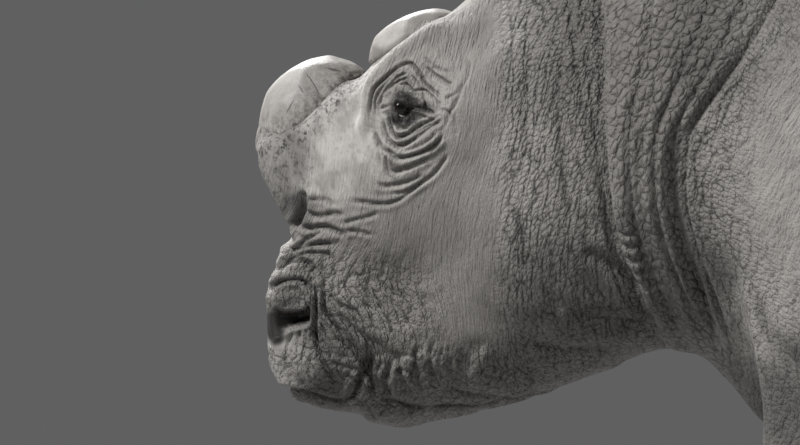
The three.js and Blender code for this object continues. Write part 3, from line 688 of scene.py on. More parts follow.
LID_FORMS = [
    (9.5, 4.8, [(-16, 26), (-5, 25), (8, 18), (21, 9), (32, 0)]),
    (-4.0, 2.4, [(-12, 22), (-3, 17), (7, 11), (17, 4), (25, -2)]),
    (5.0, 3.0, [(-16, 12), (-6, 12), (4, 8), (13, 2), (21, -4)]),
    (2.4, 3.0, [(-14, -8), (-6, -17), (5, -18), (14, -14), (22, -9)]),
]
NOSTRIL_HOLE = [(-178, -283), (-165, -287), (-137, -284), (-132, -280), (-132, -299), (-137, -304),
                (-159, -308), (-170, -314), (-176, -318), (-180, -308), (-181, -294)]
NOSTRIL_WAY = (0.58, -0.76, 0.28)  # into the head, along its length, in towards its middle, and up
NOSTRIL_DEEP = 48
NOSTRIL_OUT = 0.118        # how far out from the snout's middle the nostrils lie, in metres
NOSTRIL_DOWN = 0.304       # how far below the eye they lie, in metres
NOSTRIL_SPAN = (0.064, 0.036)   # how far each fades towards the middle, and upwards and downwards


def inside_of(at, outline):
    """The distance to a closed outline, more than 0 inside it."""
    outline = np.array(curve_through(outline + outline[:1], 3))
    gap, _ = off_line(at, outline)
    inside = np.zeros(len(at), bool)
    for a, b in zip(outline, outline[1:]):
        crosses = (a[1] > at[:, 1]) != (b[1] > at[:, 1])
        reach = a[0] + (at[:, 1] - a[1]) / (b[1] - a[1] + 1e-12) * (b[0] - a[0])
        inside ^= crosses & (at[:, 0] < reach)
    return np.where(inside, gap, -gap)


def risen(at, forms):
    """The height of rounded ridges, or of hollows where it is below 0."""
    height = np.zeros(len(at))
    for high, half, points in forms:
        gap, along = off_line(at, curve_through(points, 10))
        height += high * bump(gap, 0, half) * step(along, 0, 0.2) * step(1 - along, 0, 0.2)
    return height


def shaped_large(piece):
    """The neck's roll, the nose under the horn and the blunt ridges of the face."""
    co, normal = places(piece), directions(piece)
    at = chart(co)
    height = collar_height(at) * step(facing(co, normal), 0.0, 0.5)
    face = np.flatnonzero(parts_of(co, normal)[0] > 0)
    height[face] += risen(at[face], RIDGES) * parts_of(co[face], normal[face])[0]
    co += normal * height[:, None] * MM
    filled = np.interp(at[:, 1], *np.array(NOSE_FILLED, float).T)
    co[:, 0] -= filled * step(-normal[:, 0], 0.1, 0.6) * step(-co[:, 0], 1.3, 1.36) * MM
    put(piece, co)


def beside_snout(co):
    """1 at the height of the nostrils on each side of the snout, rounding off to 0 towards its middle."""
    inward = np.maximum(NOSTRIL_OUT - np.abs(co[:, 1]), 0) / NOSTRIL_SPAN[0]
    level = (co[:, 2] - EYE.z + NOSTRIL_DOWN) / NOSTRIL_SPAN[1]
    return 1 - step(np.hypot(inward, level), 0.7, 1.1)


def opened_nostrils(piece):
    """Presses the nostrils into the snout, with a low rim round each."""
    co = places(piece)
    at = chart(co)
    rows = np.flatnonzero((np.linalg.norm(at - NOSTRIL, axis=1) < 90) & (co[:, 0] < -1.3))
    hole = inside_of(at[rows], NOSTRIL_HOLE)
    shallow = step(-at[rows, 0], 150, 186)     # the hole is shallow towards the front
    depth = (1 - 0.55 * shallow) * NOSTRIL_DEEP * step(hole, -1.5, 8) - 2.5 * bump(hole, -5, 4)
    depth *= beside_snout(co[rows])
    way = np.array(NOSTRIL_WAY) * np.stack([np.ones(len(rows)), side_of(co[rows]), np.ones(len(rows))], 1)
    co[rows] += way * depth[:, None] * MM
    put(piece, co)


def opened_eyes(piece):
    """Draws the lids over the ball, and sinks the hide behind the opening out of sight."""
    co = places(piece)
    middle = np.array(EYE) * np.stack([np.ones(len(co)), -side_of(co), np.ones(len(co))], 1)
    out = (co - middle) / MM
    far = np.linalg.norm(out, axis=1)
    outward = math.sin(SLANT) * out[:, 0] + math.cos(SLANT) * side_of(co) * out[:, 1]
    rows = np.flatnonzero((far < 70) & (outward > 0))
    way = out[rows] / far[rows, None]
    free = np.maximum(far[rows], EYEBALL + LID)
    at = chart(middle[rows] + way * free[:, None] * MM)
    gap = -inside_of(at, EYE_OPENING)
    share = step(gap, 1, LID_REACH)
    wanted = (EYEBALL + LID) * (1 - share) + free * share
    wanted = np.maximum(wanted + risen(at, LID_FORMS) * step(gap, 0, 3), EYEBALL + LID)
    sunk = EYEBALL - 5 * step(-gap, 0, 1.2) + LID * (1 - step(-gap, 0, 0.6))
    co[rows] = middle[rows] + way * np.where(gap < 0, sunk, wanted)[:, None] * MM
    put(piece, co)


shaped_large(skin)
co = places(skin)
under_horn = zone(chart(co), (-152, -120), (56, 44)) * (co[:, 0] < -1.35)
evened(skin, under_horn, 40)
co, normal = places(skin), directions(skin)
put(skin, co + normal * hide_height(co, normal)[:, None] * MM)
opened_nostrils(skin)
opened_eyes(skin)
co = places(skin)
co[:, 2] = np.maximum(co[:, 2], 0)      # the soles stand flat on the ground
put(skin, co)


# ---- Fewer triangles ---------------------------------------------------------------------------------------
# Flat stretches of hide give up most of their small faces, and the folds of the face and neck keep theirs.
BODY_SHARE = 38000         # triangles left on the body
NECK_SHARE = 56000         # triangles left on the neck and shoulders
FACE_SHARE = 100000        # triangles left on the face
SHOULDER_X = -0.72         # the neck and the shoulders lie in front of this, in metres


def thinned(piece, mask, wanted):
    """Brings the faces in the mask down to about the wanted number, and leaves the others as they are."""
    only(piece)
    group = piece.vertex_groups.new(name="thinned")
    group.add(np.flatnonzero(mask).tolist(), 1.0, "REPLACE")
    loops = np.empty(len(piece.data.loops), np.int32)
    piece.data.loops.foreach_get("vertex_index", loops)
    inside = int(mask[loops].reshape(-1, 3).all(1).sum())
    total = len(piece.data.polygons)
    collapse = piece.modifiers.new("thinned", "DECIMATE")
    collapse.vertex_group = "thinned"
    collapse.vertex_group_factor = 1.0
    collapse.ratio = min(1.0, (total - inside + wanted) / total)
    apply_modifiers(piece)
    piece.vertex_groups.remove(piece.vertex_groups["thinned"])


def in_triangles(piece):
    """Cuts every face into triangles."""
    cut = piece.modifiers.new("triangles", "TRIANGULATE")
    cut.quad_method = "SHORTEST_DIAGONAL"
    apply_modifiers(piece)


def neck_zone(co):
    """The neck, the shoulders and the plain parts of the head."""
    return (co[:, 0] < SHOULDER_X) & ~face_zone(co)


in_triangles(skin)
thinned(skin, places(skin)[:, 0] >= SHOULDER_X, BODY_SHARE)
thinned(skin, neck_zone(places(skin)), NECK_SHARE)
thinned(skin, face_zone(places(skin)), FACE_SHARE)
only(skin)
bpy.ops.object.shade_smooth()


# ---- The hide's colour and grain ---------------------------------------------------------------------------
# Bare dry hide: cobbled on the neck, drawn into fine streaks on the cheeks, cracked into small lozenges on
# the muzzle and almost smooth beside the horns. Dust lies pale on what faces up. Painted shade darkens the
# clefts, the creases, the nostrils, the mouth and the parts turned from the light, and the dust and damp
# marks carry painted shade too.
def colour(hexed):
    """An sRGB hex colour as linear light."""
    parts = [int(hexed[n:n + 2], 16) / 255 for n in (0, 2, 4)]
    return tuple(c / 12.92 if c <= 0.04045 else ((c + 0.055) / 1.055) ** 2.4 for c in parts) + (1,)


def toned(stops):
    """The stops of a ramp with their hex colours as linear light."""
    return {"stops": [(place, colour(tone)) for place, tone in stops]}


def add(tree, kind, settings=(), links=(), out=0):
    """Adds one node with its settings and its inputs set or linked, and gives back one of its outputs."""
    made = tree.nodes.new("ShaderNode" + kind)
    settings = dict(settings)
    for element in range(2, len(settings.get("stops", ()))):
        made.color_ramp.elements.new(0.5)
    for element, (place, tone) in enumerate(settings.pop("stops", ())):
        made.color_ramp.elements[element].position = place
        made.color_ramp.elements[element].color = tone if isinstance(tone, tuple) else (tone, tone, tone, 1)
    for name, value in settings.items():
        setattr(made, name, value)
    for name, value in dict(links).items():
        if isinstance(value, bpy.types.NodeSocket):
            tree.links.new(value, made.inputs[name])
        else:
            made.inputs[name].default_value = value
    return made.outputs[out] if made.outputs else made


def new_material(name):
    """An empty material, and its tree."""
    material = bpy.data.materials.new(name)
    material.use_nodes = True
    material.node_tree.nodes.clear()
    return material, material.node_tree


def store(piece, name, values):
    """Writes numbers, or rows of three, on the vertices."""
    kind = "FLOAT_VECTOR" if values.ndim == 2 else "FLOAT"
    layer = piece.data.attributes.new(name, kind, "POINT")
    layer.data.foreach_set("vector" if values.ndim == 2 else "value", values.astype(np.float32).ravel())


def painted(piece, material):
    """Shades the piece smooth and gives it this material alone."""
    only(piece)
    bpy.ops.object.shade_smooth()
    piece.data.materials.clear()
    piece.data.materials.append(material)


HORN_EDGE = [(-61, 53), (-77, 38), (-117, -4), (-138, -25), (-164, -40), (-196, -47)]


def nostril_marks(co, at, head):
    """The painted shade in and round each nostril, and the damp inside it."""
    gap = inside_of(at, NOSTRIL_HOLE)
    cheeks = beside_snout(co) * head
    nostril_shade = np.maximum(step(gap, -4, 6), zone(at, (-186, -313), (28, 44))) * cheeks
    return nostril_shade, step(gap, -1, 5) * cheeks


def turned_away(at, part, face):
    """The shade on the nape, at the throat, low on the chest and on the muzzle."""
    turned = 0.46 * zone(at, (450, 110), (170, 150)) * step(part, 0.1, 0.7)
    turned += 0.35 * zone(at, (190, 90), (120, 140))
    turned += 0.5 * zone(at, (290, -240), (220, 130)) + 0.8 * zone(at, (560, -410), (130, 150))
    turned += (0.4 * zone(at, (-110, -350), (110, 100)) + 0.3 * zone(at, (-150, -230), (60, 70))) * face
    return turned


def clefts(at, face, side):
    """How far each place lies in a fold, from 0 to 1."""
    cleft = folded(at, EYE_FOLDS + MUZZLE_FOLDS)[1] * face
    return np.maximum(cleft, folded(at, BODY_FOLDS + COLLAR_FOLDS)[1] * side * 0.8)


def mark_hide(piece):
    """Where each kind of grain and shade lies on the hide."""
    co, normal = places(piece), directions(piece)
    at = chart(co)
    face, side, body, neck, legs, muzzle = parts_of(co, normal)
    head = step(-co[:, 0], 0.8, 1.0)
    part = collar_part(at)
    roll = step(part, 0, 0.12) * step(1 - part, 0, 0.12)
    nose = zone(at, (-118, -50), (120, 110)) * head * (1 - zone(at, (-150, -150), (60, 40)))
    around_eye = zone(at, *AROUND_EYE) * head
    shoulder = zone(at, (575, -90), (170, 190))
    hole, inner = nostril_marks(co, at, head)
    lip = zone(at, (-160, -358), (46, 52)) * face
    front = zone(at, (-178, -68), (64, 105)) * head
    cobbled = step(at[:, 0], 105, 160) * (1 - 0.35 * step(at[:, 0], 440, 520))
    calm = 1 - 0.72 * nose - 0.3 * around_eye - 0.15 * shoulder - 0.25 * lip
    edge, _ = off_line(at, curve_through(HORN_EDGE))
    store(piece, "grain", grain(co) * MM)
    store(piece, "cobble", np.clip(cobbled + 0.8 * muzzle * face + 0.5 * around_eye - 0.5 * shoulder, 0, 1))
    store(piece, "coarse", np.clip(roll + 0.5 * body + 0.7 * muzzle * face - 0.6 * shoulder, 0, 1))
    store(piece, "depth", np.clip(calm + 0.7 * muzzle * face, 0.06, 1.6) * (1 - hole))
    store(piece, "mottled", np.clip(nose + 0.6 * lip + 0.15, 0, 1))
    store(piece, "crust", np.clip(bump(edge, 4, 14) + 0.6 * front, 0, 1) * head)

    # The dust mark is pale dust on what faces up, and it is also painted shade: it falls away where the hide
    # faces down, high on the neck, on the roll and on the muzzle.
    neck = step(at[:, 0], 120, 240) * (1 - step(at[:, 0], 400, 500))
    dust_and_shade = step(normal[:, 2], -0.8, 0.3) * (1 - 0.5 * neck * step(at[:, 1], -240, 40) - 0.2 * roll)
    store(piece, "dust_and_shade", np.clip(dust_and_shade - 0.45 * muzzle * face, 0, 1))
    # The damp mark is wet hide at the rim of each eye, in its lower lid and inside the nostrils, and painted
    # shade over the eye and behind it, under the heavy upper lid.
    rim = bump(np.abs(inside_of(at, EYE_OPENING)), 0, 6)
    lids = zone(at, (1, -14), (26, 15)) + 0.9 * zone(at, (20, 1), (32, 14))
    lids += 0.9 * zone(at, (0, 12), (24, 16))
    store(piece, "damp_and_shade", np.clip(np.maximum.reduce([rim, lids, inner]), 0, 1) * head)
    # The shade mark is painted shade: in the nostrils, along the mouth, in the folds, under the nose pad, at
    # the corner of the mouth, down the front of the nose and where the form turns away from the light.
    mouth, _ = off_line(at, curve_through(MOUTH[2]))
    under_nose = 0.6 * zone(at, (-150, -143), (30, 38)) + 0.6 * zone(at, (-55, -365), (24, 30)) + 0.5 * front
    shade = np.maximum.reduce([1.2 * hole, bump(mouth, 0, 5) * head, 0.95 * clefts(at, face, side)**1.7,
                               under_nose * head, turned_away(at, part, face)])
    store(piece, "shade", np.clip(shade, 0, 1.15))


mark_hide(skin)

HIDE_PALE = "b8b4af"
HIDE_MIDDLE = "a19d99"
# Where the dust mark is low, the clean hide tone also stands for painted shade.
HIDE_CLEAN_AND_SHADE = "4a4643"      # hide with no dust on it
HIDE_SHADE_AND_DIRT = "1b1817"
HIDE_DAMP_AND_SHADE = "262220"
HIDE_NOSE = "c2beb9"
COBBLE = (6.4 * MM, 8.0 * MM, 8.0 * MM)   # across the grain, along it, and into the body's breadth
BOULDER = (9.5 * MM, 15 * MM, 13 * MM)
COLUMN = (11 * MM, 62 * MM, 36 * MM)       # the upright creases that part the cobbles into columns
WIDE_COLUMN = (17 * MM, 84 * MM, 44 * MM)
STREAK = (2.6 * MM, 26 * MM, 14 * MM)
GRANULE = (3.1 * MM, 3.1 * MM, 3.5 * MM)

hide, tree = new_material("dry_cobbled_hide")
marks = {name: add(tree, "Attribute", {"attribute_name": name}, out=2)
         for name in ("cobble", "coarse", "depth", "mottled", "crust", "dust_and_shade", "damp_and_shade", "shade")}
lie = add(tree, "Attribute", {"attribute_name": "grain"}, out=1)
DOME = [(0.0, 1.0), (0.25, 0.9), (0.5, 0.52), (0.72, 0.12), (0.9, 0.0)]
SEAM = [(0.0, 0.0), (0.1, 0.5), (0.22, 0.85), (0.4, 1.0)]
CREASE = [(0.0, 0.0), (0.09, 0.5), (0.2, 0.84), (0.42, 1.0)]

# The cells are bent twice, widely and finely, so that no two cobbles are alike.
wide_bend = add(tree, "TexNoise", {}, {"Scale": 1.0, "Detail": 1.0, "Vector": add(
    tree, "VectorMath", {"operation": "DIVIDE"}, {0: lie, 1: (20 * MM, 36 * MM, 28 * MM)})}, out=1)
fine_bend = add(tree, "TexNoise", {}, {"Scale": 1.0, "Detail": 2.0, "Vector": add(
    tree, "VectorMath", {"operation": "DIVIDE"}, {0: lie, 1: (5 * MM, 6 * MM, 6 * MM)})}, out=1)
bent = add(tree, "VectorMath", {"operation": "MULTIPLY_ADD"}, {0: wide_bend, 1: (10 * MM,) * 3, 2: lie})
bent = add(tree, "VectorMath", {"operation": "MULTIPLY_ADD"}, {0: fine_bend, 1: (2 * MM,) * 3, 2: bent})
unturned = add(tree, "TexCoord", out=3)

CELLS = {  # what each measures, its ramp, what it follows, its size, and how uneven it is
    "cobble": ("F1", DOME, bent, COBBLE, 0.8),
    "seam": ("DISTANCE_TO_EDGE", SEAM, bent, COBBLE, 0.8),
    "boulder": ("F1", DOME, bent, BOULDER, 0.8),
    "wide_seam": ("DISTANCE_TO_EDGE", SEAM, bent, BOULDER, 0.8),
    "granule": ("F1", DOME, unturned, GRANULE, 1.0),
    "column": ("DISTANCE_TO_EDGE", CREASE, bent, COLUMN, 1.0),
    "wide_column": ("DISTANCE_TO_EDGE", CREASE, bent, WIDE_COLUMN, 1.0),
}
patterns = {}
for name, (feature, ramp, follows, size, uneven) in CELLS.items():
    place = add(tree, "VectorMath", {"operation": "DIVIDE"}, {0: follows, 1: size})
    cell = add(tree, "TexVoronoi", {"feature": feature}, {
        "Vector": place, "Scale": 1.0, "Randomness": uneven})
    patterns[name] = add(tree, "ValToRGB", {"stops": ramp}, {0: cell})

CLOUDS = {  # the size of each, its detail and its roughness
    "streak": (STREAK, 4.0, 0.6),
    "cloud": ((60 * MM, 110 * MM, 90 * MM), 5.0, 0.5),
    "speck": ((7 * MM, 9 * MM, 8 * MM), 6.0, 0.7),
    "blotch": ((26 * MM, 34 * MM, 30 * MM), 5.0, 0.5),
}
for name, (size, detail, roughness) in CLOUDS.items():
    place = add(tree, "VectorMath", {"operation": "DIVIDE"}, {0: lie, 1: size})
    patterns[name] = add(tree, "TexNoise", {}, {
        "Vector": place, "Scale": 1.0, "Detail": detail, "Roughness": roughness})

BLENDS = {  # the height of each pattern in the relief of the hide
    "fine": {"column": 0.46, "cobble": 0.34, "seam": 0.2},
    "rough": {"wide_column": 0.5, "cobble": 0.2, "boulder": 0.6, "wide_seam": 0.45},
    "drawn": {"wide_column": 0.25, "streak": 1.3, "granule": 0.07},
}
blends = dict.fromkeys(BLENDS, 0.0)
for name, shares in BLENDS.items():
    for pattern, share in shares.items():
        blends[name] = add(tree, "Math", {"operation": "MULTIPLY_ADD"}, {
            0: patterns[pattern], 1: share, 2: blends[name]})
cobbled = add(tree, "Mix", {"data_type": "FLOAT"}, {
    0: marks["coarse"], 2: blends["fine"], 3: blends["rough"]})
cobbled = add(tree, "Math", {"operation": "MULTIPLY_ADD"}, {0: patterns["granule"], 1: 0.18, 2: cobbled})
relief = add(tree, "Mix", {"data_type": "FLOAT"}, {0: marks["cobble"], 2: blends["drawn"], 3: cobbled})
height = add(tree, "Math", {"operation": "MULTIPLY"}, {0: relief, 1: marks["depth"]})
relief_bump = add(tree, "Bump", {}, {"Strength": 1.0, "Distance": 6.8 * MM, "Height": height})

# Clean hide is dark and the dust on it is cloudy. Where the dust mark is low, on what faces down, high on
# the neck and on the muzzle, the dark clean tone is also painted shade.
dusty = add(tree, "ValToRGB", toned([(0.34, HIDE_MIDDLE), (0.66, HIDE_PALE)]), {0: patterns["cloud"]})
tone = add(tree, "Mix", {"data_type": "RGBA"}, {0: marks["dust_and_shade"], 6: colour(HIDE_CLEAN_AND_SHADE), 7: dusty}, out=2)
blotched = add(tree, "ValToRGB", toned([(0.36, HIDE_MIDDLE), (0.58, HIDE_NOSE)]), {0: patterns["blotch"]})
tone = add(tree, "Mix", {"data_type": "RGBA"}, {0: marks["mottled"], 6: tone, 7: blotched}, out=2)
# The low parts of the relief are darkened, as dirt and as painted shade in the creases.
crease = add(tree, "ValToRGB", {"stops": [(0.10, 1.0), (0.36, 0.45), (0.66, 0.0)]}, {0: relief})
specks = add(tree, "ValToRGB", {"stops": [(0.5, 0.0), (0.66, 1.0)]}, {0: patterns["speck"]})
# Stains and painted shade laid over the tone: the crease ramp is dirt and painted shade, the specks are
# mottling and dirt, the damp mark is wet hide with painted shade round the eyes, and the shade mark is
# painted shade.
STAINS_AND_SHADE = [  # the pattern of each, the mark it lies on, its strength and its colour
    (crease, marks["depth"], 0.92, HIDE_SHADE_AND_DIRT),
    (specks, marks["mottled"], 0.28, HIDE_CLEAN_AND_SHADE),
    (specks, marks["crust"], 1.0, HIDE_SHADE_AND_DIRT),
    (1.0, marks["damp_and_shade"], 0.9, HIDE_DAMP_AND_SHADE),
    (1.0, marks["shade"], 0.86, HIDE_SHADE_AND_DIRT),
]
for pattern, mark, strength, stain_and_shade in STAINS_AND_SHADE:
    mask = add(tree, "Math", {"operation": "MULTIPLY"}, {0: pattern, 1: mark})
    mask = add(tree, "Math", {"operation": "MULTIPLY"}, {0: mask, 1: strength})
    tone = add(tree, "Mix", {"data_type": "RGBA"}, {0: mask, 6: tone, 7: colour(stain_and_shade)}, out=2)
gloss = add(tree, "MapRange", {}, {0: marks["damp_and_shade"], 3: 0.72, 4: 0.45})
shader = add(tree, "BsdfPrincipled", {}, {"Base Color": tone, "Roughness": gloss, "Normal": relief_bump,
                                          "Specular IOR Level": 0.35})
add(tree, "OutputMaterial", {}, {"Surface": shader})
painted(skin, hide)
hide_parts(*FLESH)
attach(skin, "root")


# ---- Eyes --------------------------------------------------------------------------------------------------
# Each eye is a wet dark-brown ball with a bulging front, turned a little backwards, and a bead of tears lies
# along its lower lid, coloured pale as a painted highlight.
GAZE = (0.30, -0.95, 0.0)  # the way the left eye looks
BULGE = 1.4                # how far the front stands out
IRIS_REACH = 18            # how far from the middle of the iris its colours run out
IRIS = [(0.0, "050404"), (0.30, "060505"), (0.36, "22160e"), (0.52, "1a110b"), (0.60, "100b08"),
        (0.9, "3a2d27")]   # pupil, iris, its dark rim and the ball round it
# The pale tones of the tears are a painted highlight.
TEAR_HIGHLIGHT_TONES = [(0.3, "b4b1ad"), (0.7, "dedbd7")]
TEARS = [(-10, -4), (-6, -9), (-1, -11), (4, -11), (9, -8)]
TEAR_SIZE = 1.1


def gaze_of(side):
    """The way the eye on this side looks."""
    return Vector((GAZE[0], GAZE[1] * side, GAZE[2])).normalized()


def eye_material(side):
    """Wet eyeball: near-black iris in a brown ball, mirror-smooth under the tears."""
    material, tree = new_material("wet_eyeball")
    middle = Vector((EYE.x, EYE.y * side, EYE.z)) + gaze_of(side) * EYEBALL * MM
    place = add(tree, "TexCoord", out=3)
    away = add(tree, "VectorMath", {"operation": "DISTANCE"}, {0: place, 1: middle}, out=1)
    away = add(tree, "Math", {"operation": "DIVIDE"}, {0: away, 1: IRIS_REACH * MM})
    fibres = add(tree, "TexNoise", {}, {"Vector": place, "Scale": 620.0, "Detail": 3.0})
    away = add(tree, "Math", {"operation": "MULTIPLY_ADD"}, {0: fibres, 1: 0.05, 2: away})
    tone = add(tree, "ValToRGB", toned(IRIS), {0: away})
    shader = add(tree, "BsdfPrincipled", {}, {"Base Color": tone, "Roughness": 0.2, "IOR": 1.376})
    add(tree, "OutputMaterial", {}, {"Surface": shader})
    return material


def make_eye(name, node, side):
    """A ball in the place of the frame's, with its front standing out."""
    low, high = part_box(node)
    centre = (low + high) / 2
    bpy.ops.object.select_all(action="DESELECT")
    bpy.ops.mesh.primitive_uv_sphere_add(segments=64, ring_count=48, radius=EYEBALL * MM, location=centre)
    ball = bpy.context.view_layer.objects.active
    ball.name = name
    bpy.ops.object.transform_apply(location=True, rotation=True, scale=True)
    co = places(ball)
    out = (co - np.array(centre)) / (EYEBALL * MM)
    toward = out @ np.array(gaze_of(side))
    put(ball, co + out * (BULGE * MM * step(toward, 0.82, 0.98))[:, None])
    painted(ball, eye_material(side))
    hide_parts(node)
    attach(ball, "root")


def on_ball(at, radius, side):
    """Places over the eyeball, at this radius, that the chart shows at these millimetres."""
    at = np.array(at, float)
    depth = np.sqrt(np.maximum(radius**2 - (at**2).sum(1), 0))
    across = np.array([math.cos(SLANT), math.sin(SLANT) * side, 0])
    outward = np.array([math.sin(SLANT), -math.cos(SLANT) * side, 0])
    middle = np.array([EYE.x, EYE.y * side, EYE.z])
    up = np.array([0, 0, 1.0])
    return middle + (at[:, :1] * across + at[:, 1:] * up + depth[:, None] * outward) * MM


def make_tears(name, side):
    """The bead along the lower lid, a thin round tube that runs out at both ends."""
    curve = bpy.data.curves.new(name, "CURVE")
    curve.dimensions = "3D"
    curve.bevel_depth = 1.0
    curve.use_fill_caps = True
    spots = on_ball(curve_through(TEARS, 1.5), EYEBALL + 0.6, side)
    line = curve.splines.new("POLY")
    line.points.add(len(spots) - 1)
    for n, (point, spot) in enumerate(zip(line.points, spots)):
        point.co = (*spot, 1)
        point.radius = TEAR_SIZE * MM * (0.3 + 0.7 * math.sin(math.pi * n / (len(spots) - 1)))
    tears = bpy.data.objects.new(name, curve)
    bpy.context.scene.collection.objects.link(tears)
    only(tears)
    bpy.ops.object.convert(target="MESH")
    painted(tears, tear_highlight)
    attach(tears, "root")


# Tears: an opaque pale bead whose light colour is a painted highlight, the bright wet line over the dark lid.
tear_highlight, tree = new_material("painted_tear_highlight")
film = add(tree, "TexNoise", {}, {"Vector": add(tree, "TexCoord", out=3), "Scale": 300.0})
tone = add(tree, "ValToRGB", toned(TEAR_HIGHLIGHT_TONES), {0: film})
shader = add(tree, "BsdfPrincipled", {}, {"Base Color": tone, "Roughness": 0.05, "IOR": 1.33})
add(tree, "OutputMaterial", {}, {"Surface": shader})

for name, side in (("left", 1), ("right", -1)):
    make_eye("eyeball_" + name, "eye_" + name, side)
    make_tears("tear_bead_highlight_" + name, side)


# ---- Horn stumps -------------------------------------------------------------------------------------------
# Both horns are cut back to low domes of matted keratin fibre, rasped to blunt flats, and speckled with dirt
# round the foot, where the fibre grows out of the hide.
HORN_CELL = 4 * MM
HORN_PALE = "b0aca7"
HORN_MIDDLE = "9a9691"
HORN_DIRT = "4f4b47"
HORN_SCUFF = "8c867f"
RASPED = [(-0.72, 0.0, 0.69, 3.5), (-0.30, 0.0, 0.95, 2), (0.35, 0.0, 0.94, 3), (-0.35, -0.75, 0.56, 6),
          (0.25, -0.75, 0.61, 5), (-0.35, 0.75, 0.56, 6), (0.25, 0.75, 0.61, 5), (-0.85, -0.45, 0.25, 4),
          (-0.85, 0.45, 0.25, 4)]  # the way each flat faces, and the millimetres taken off there
SCRATCHES = [((-126, 36), -57, (27, 1.3)), ((-144, 29), -57, (8, 1.1)), ((-98, 57), -14, (14, 2.0)),
             ((-160, 4), 62, (16, 1.2))]  # each one's middle, its turn in degrees, and its half sizes


def remade(name, node, cell, even_steps):
    """A smooth fine copy of one solid of the frame."""
    made = copied(name, node)
    closed(made, cell)
    smooth = made.modifiers.new("even", "SMOOTH")
    smooth.factor = EVEN_FACTOR
    smooth.iterations = even_steps
    apply_modifiers(made)
    return made


def make_stump(name, node, foot):
    """foot is where the hide's edge runs across the stump, in the direction of its height."""
    stump = remade(name, node, HORN_CELL, 22)
    co = places(stump)
    for x, y, z, taken in RASPED:
        way = np.array(Vector((x, y, z)).normalized())
        along = co @ way
        over = along - (along.max() - taken * MM)
        co -= way * np.maximum(over, 0)[:, None] * 0.85
    put(stump, co)
    evened(stump, np.ones(len(co)), 5)
    co, normal = places(stump), directions(stump)
    low = 1 - step(co[:, 2], *foot)
    fray = 1.4 * clouds(co / MM / [34, 34, 50], 13) + clouds(co / MM / [12, 12, 60], 11)
    fray += 0.5 * clouds(co / MM / [4.5, 4.5, 40], 12)
    put(stump, co + normal * (fray * (0.2 + low))[:, None] * MM)
    store(stump, "grain", co)
    at = chart(co)
    edge, _ = off_line(at, curve_through(HORN_EDGE))
    store(stump, "foot", np.clip(bump(edge, 0, 16) + 0.5 * bump(edge, 26, 24), 0, 1))
    left = step(-co[:, 1], 0, 0.02)
    store(stump, "side", np.column_stack([at * MM, 0 * left]))
    store(stump, "left", left)
    painted(stump, horn)
    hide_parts(node)
    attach(stump, "root")


# Keratin with a rasped, faintly fibrous surface, pale and a little see-through. Its fibres run upwards, and
# the scratches are on its left side only.
horn, tree = new_material("rasped_horn_keratin")
lie = add(tree, "Attribute", {"attribute_name": "grain"}, out=1)
foot = add(tree, "Attribute", {"attribute_name": "foot"}, out=2)
left = add(tree, "Attribute", {"attribute_name": "left"}, out=2)
shown = add(tree, "Attribute", {"attribute_name": "side"}, out=1)
waver = add(tree, "TexNoise", {}, {"Vector": shown, "Scale": 140.0}, out=1)
shown = add(tree, "VectorMath", {"operation": "MULTIPLY_ADD"}, {0: waver, 1: (3 * MM, 3 * MM, 0), 2: shown})
crack = 0.0
for middle, turn, half in SCRATCHES:
    spot = add(tree, "Mapping", {"vector_type": "TEXTURE"}, {
        "Vector": shown, "Location": (middle[0] * MM + 1.5 * MM, middle[1] * MM + 1.5 * MM, 0),
        "Rotation": (0, 0, math.radians(turn)), "Scale": (half[0] * MM, half[1] * MM, 1)})
    spot = add(tree, "TexGradient", {"gradient_type": "SPHERICAL"}, {"Vector": spot})
    crack = add(tree, "Math", {"operation": "MAXIMUM"}, {0: spot, 1: crack})
crack = add(tree, "ValToRGB", {"stops": [(0.0, 0.0), (0.5, 0.75)]}, {0: crack})
crack = add(tree, "Math", {"operation": "MULTIPLY"}, {0: crack, 1: left})
HORN_CLOUDS = {  # the size of each, its detail and its roughness
    "fibre": ((2.4 * MM, 2.4 * MM, 26 * MM), 4.0, 0.5),
    "patch": ((38 * MM, 30 * MM, 46 * MM), 5.0, 0.5),
    "grime": ((9 * MM, 9 * MM, 9 * MM), 6.0, 0.75),
}
patterns = {}
for name, (size, detail, roughness) in HORN_CLOUDS.items():
    place = add(tree, "VectorMath", {"operation": "DIVIDE"}, {0: lie, 1: size})
    patterns[name] = add(tree, "TexNoise", {}, {
        "Vector": place, "Scale": 1.0, "Detail": detail, "Roughness": roughness})
tone = add(tree, "ValToRGB", toned([(0.35, HORN_MIDDLE), (0.62, HORN_PALE)]), {0: patterns["patch"]})
dirty = add(tree, "ValToRGB", {"stops": [(0.42, 0.0), (0.62, 1.0)]}, {0: patterns["grime"]})
dirty = add(tree, "Math", {"operation": "MULTIPLY"}, {0: dirty, 1: foot})
tone = add(tree, "Mix", {"data_type": "RGBA"}, {0: dirty, 6: tone, 7: colour(HORN_DIRT)}, out=2)
scuffed = add(tree, "ValToRGB", {"stops": [(0.62, 0.0), (0.72, 0.35)]}, {0: patterns["patch"]})
tone = add(tree, "Mix", {"data_type": "RGBA"}, {0: scuffed, 6: tone, 7: colour(HORN_SCUFF)}, out=2)
tone = add(tree, "Mix", {"data_type": "RGBA"}, {0: crack, 6: tone, 7: colour(HORN_DIRT)}, out=2)
height = add(tree, "Math", {"operation": "SUBTRACT"}, {0: patterns["fibre"], 1: crack})
relief_bump = add(tree, "Bump", {}, {"Strength": 0.7, "Distance": 0.8 * MM, "Height": height})
shader = add(tree, "BsdfPrincipled", {}, {
    "Base Color": tone, "Roughness": 0.5, "Normal": relief_bump, "Subsurface Weight": 0.08,
    "Subsurface Radius": (0.006, 0.005, 0.004)})
add(tree, "OutputMaterial", {}, {"Surface": shader})

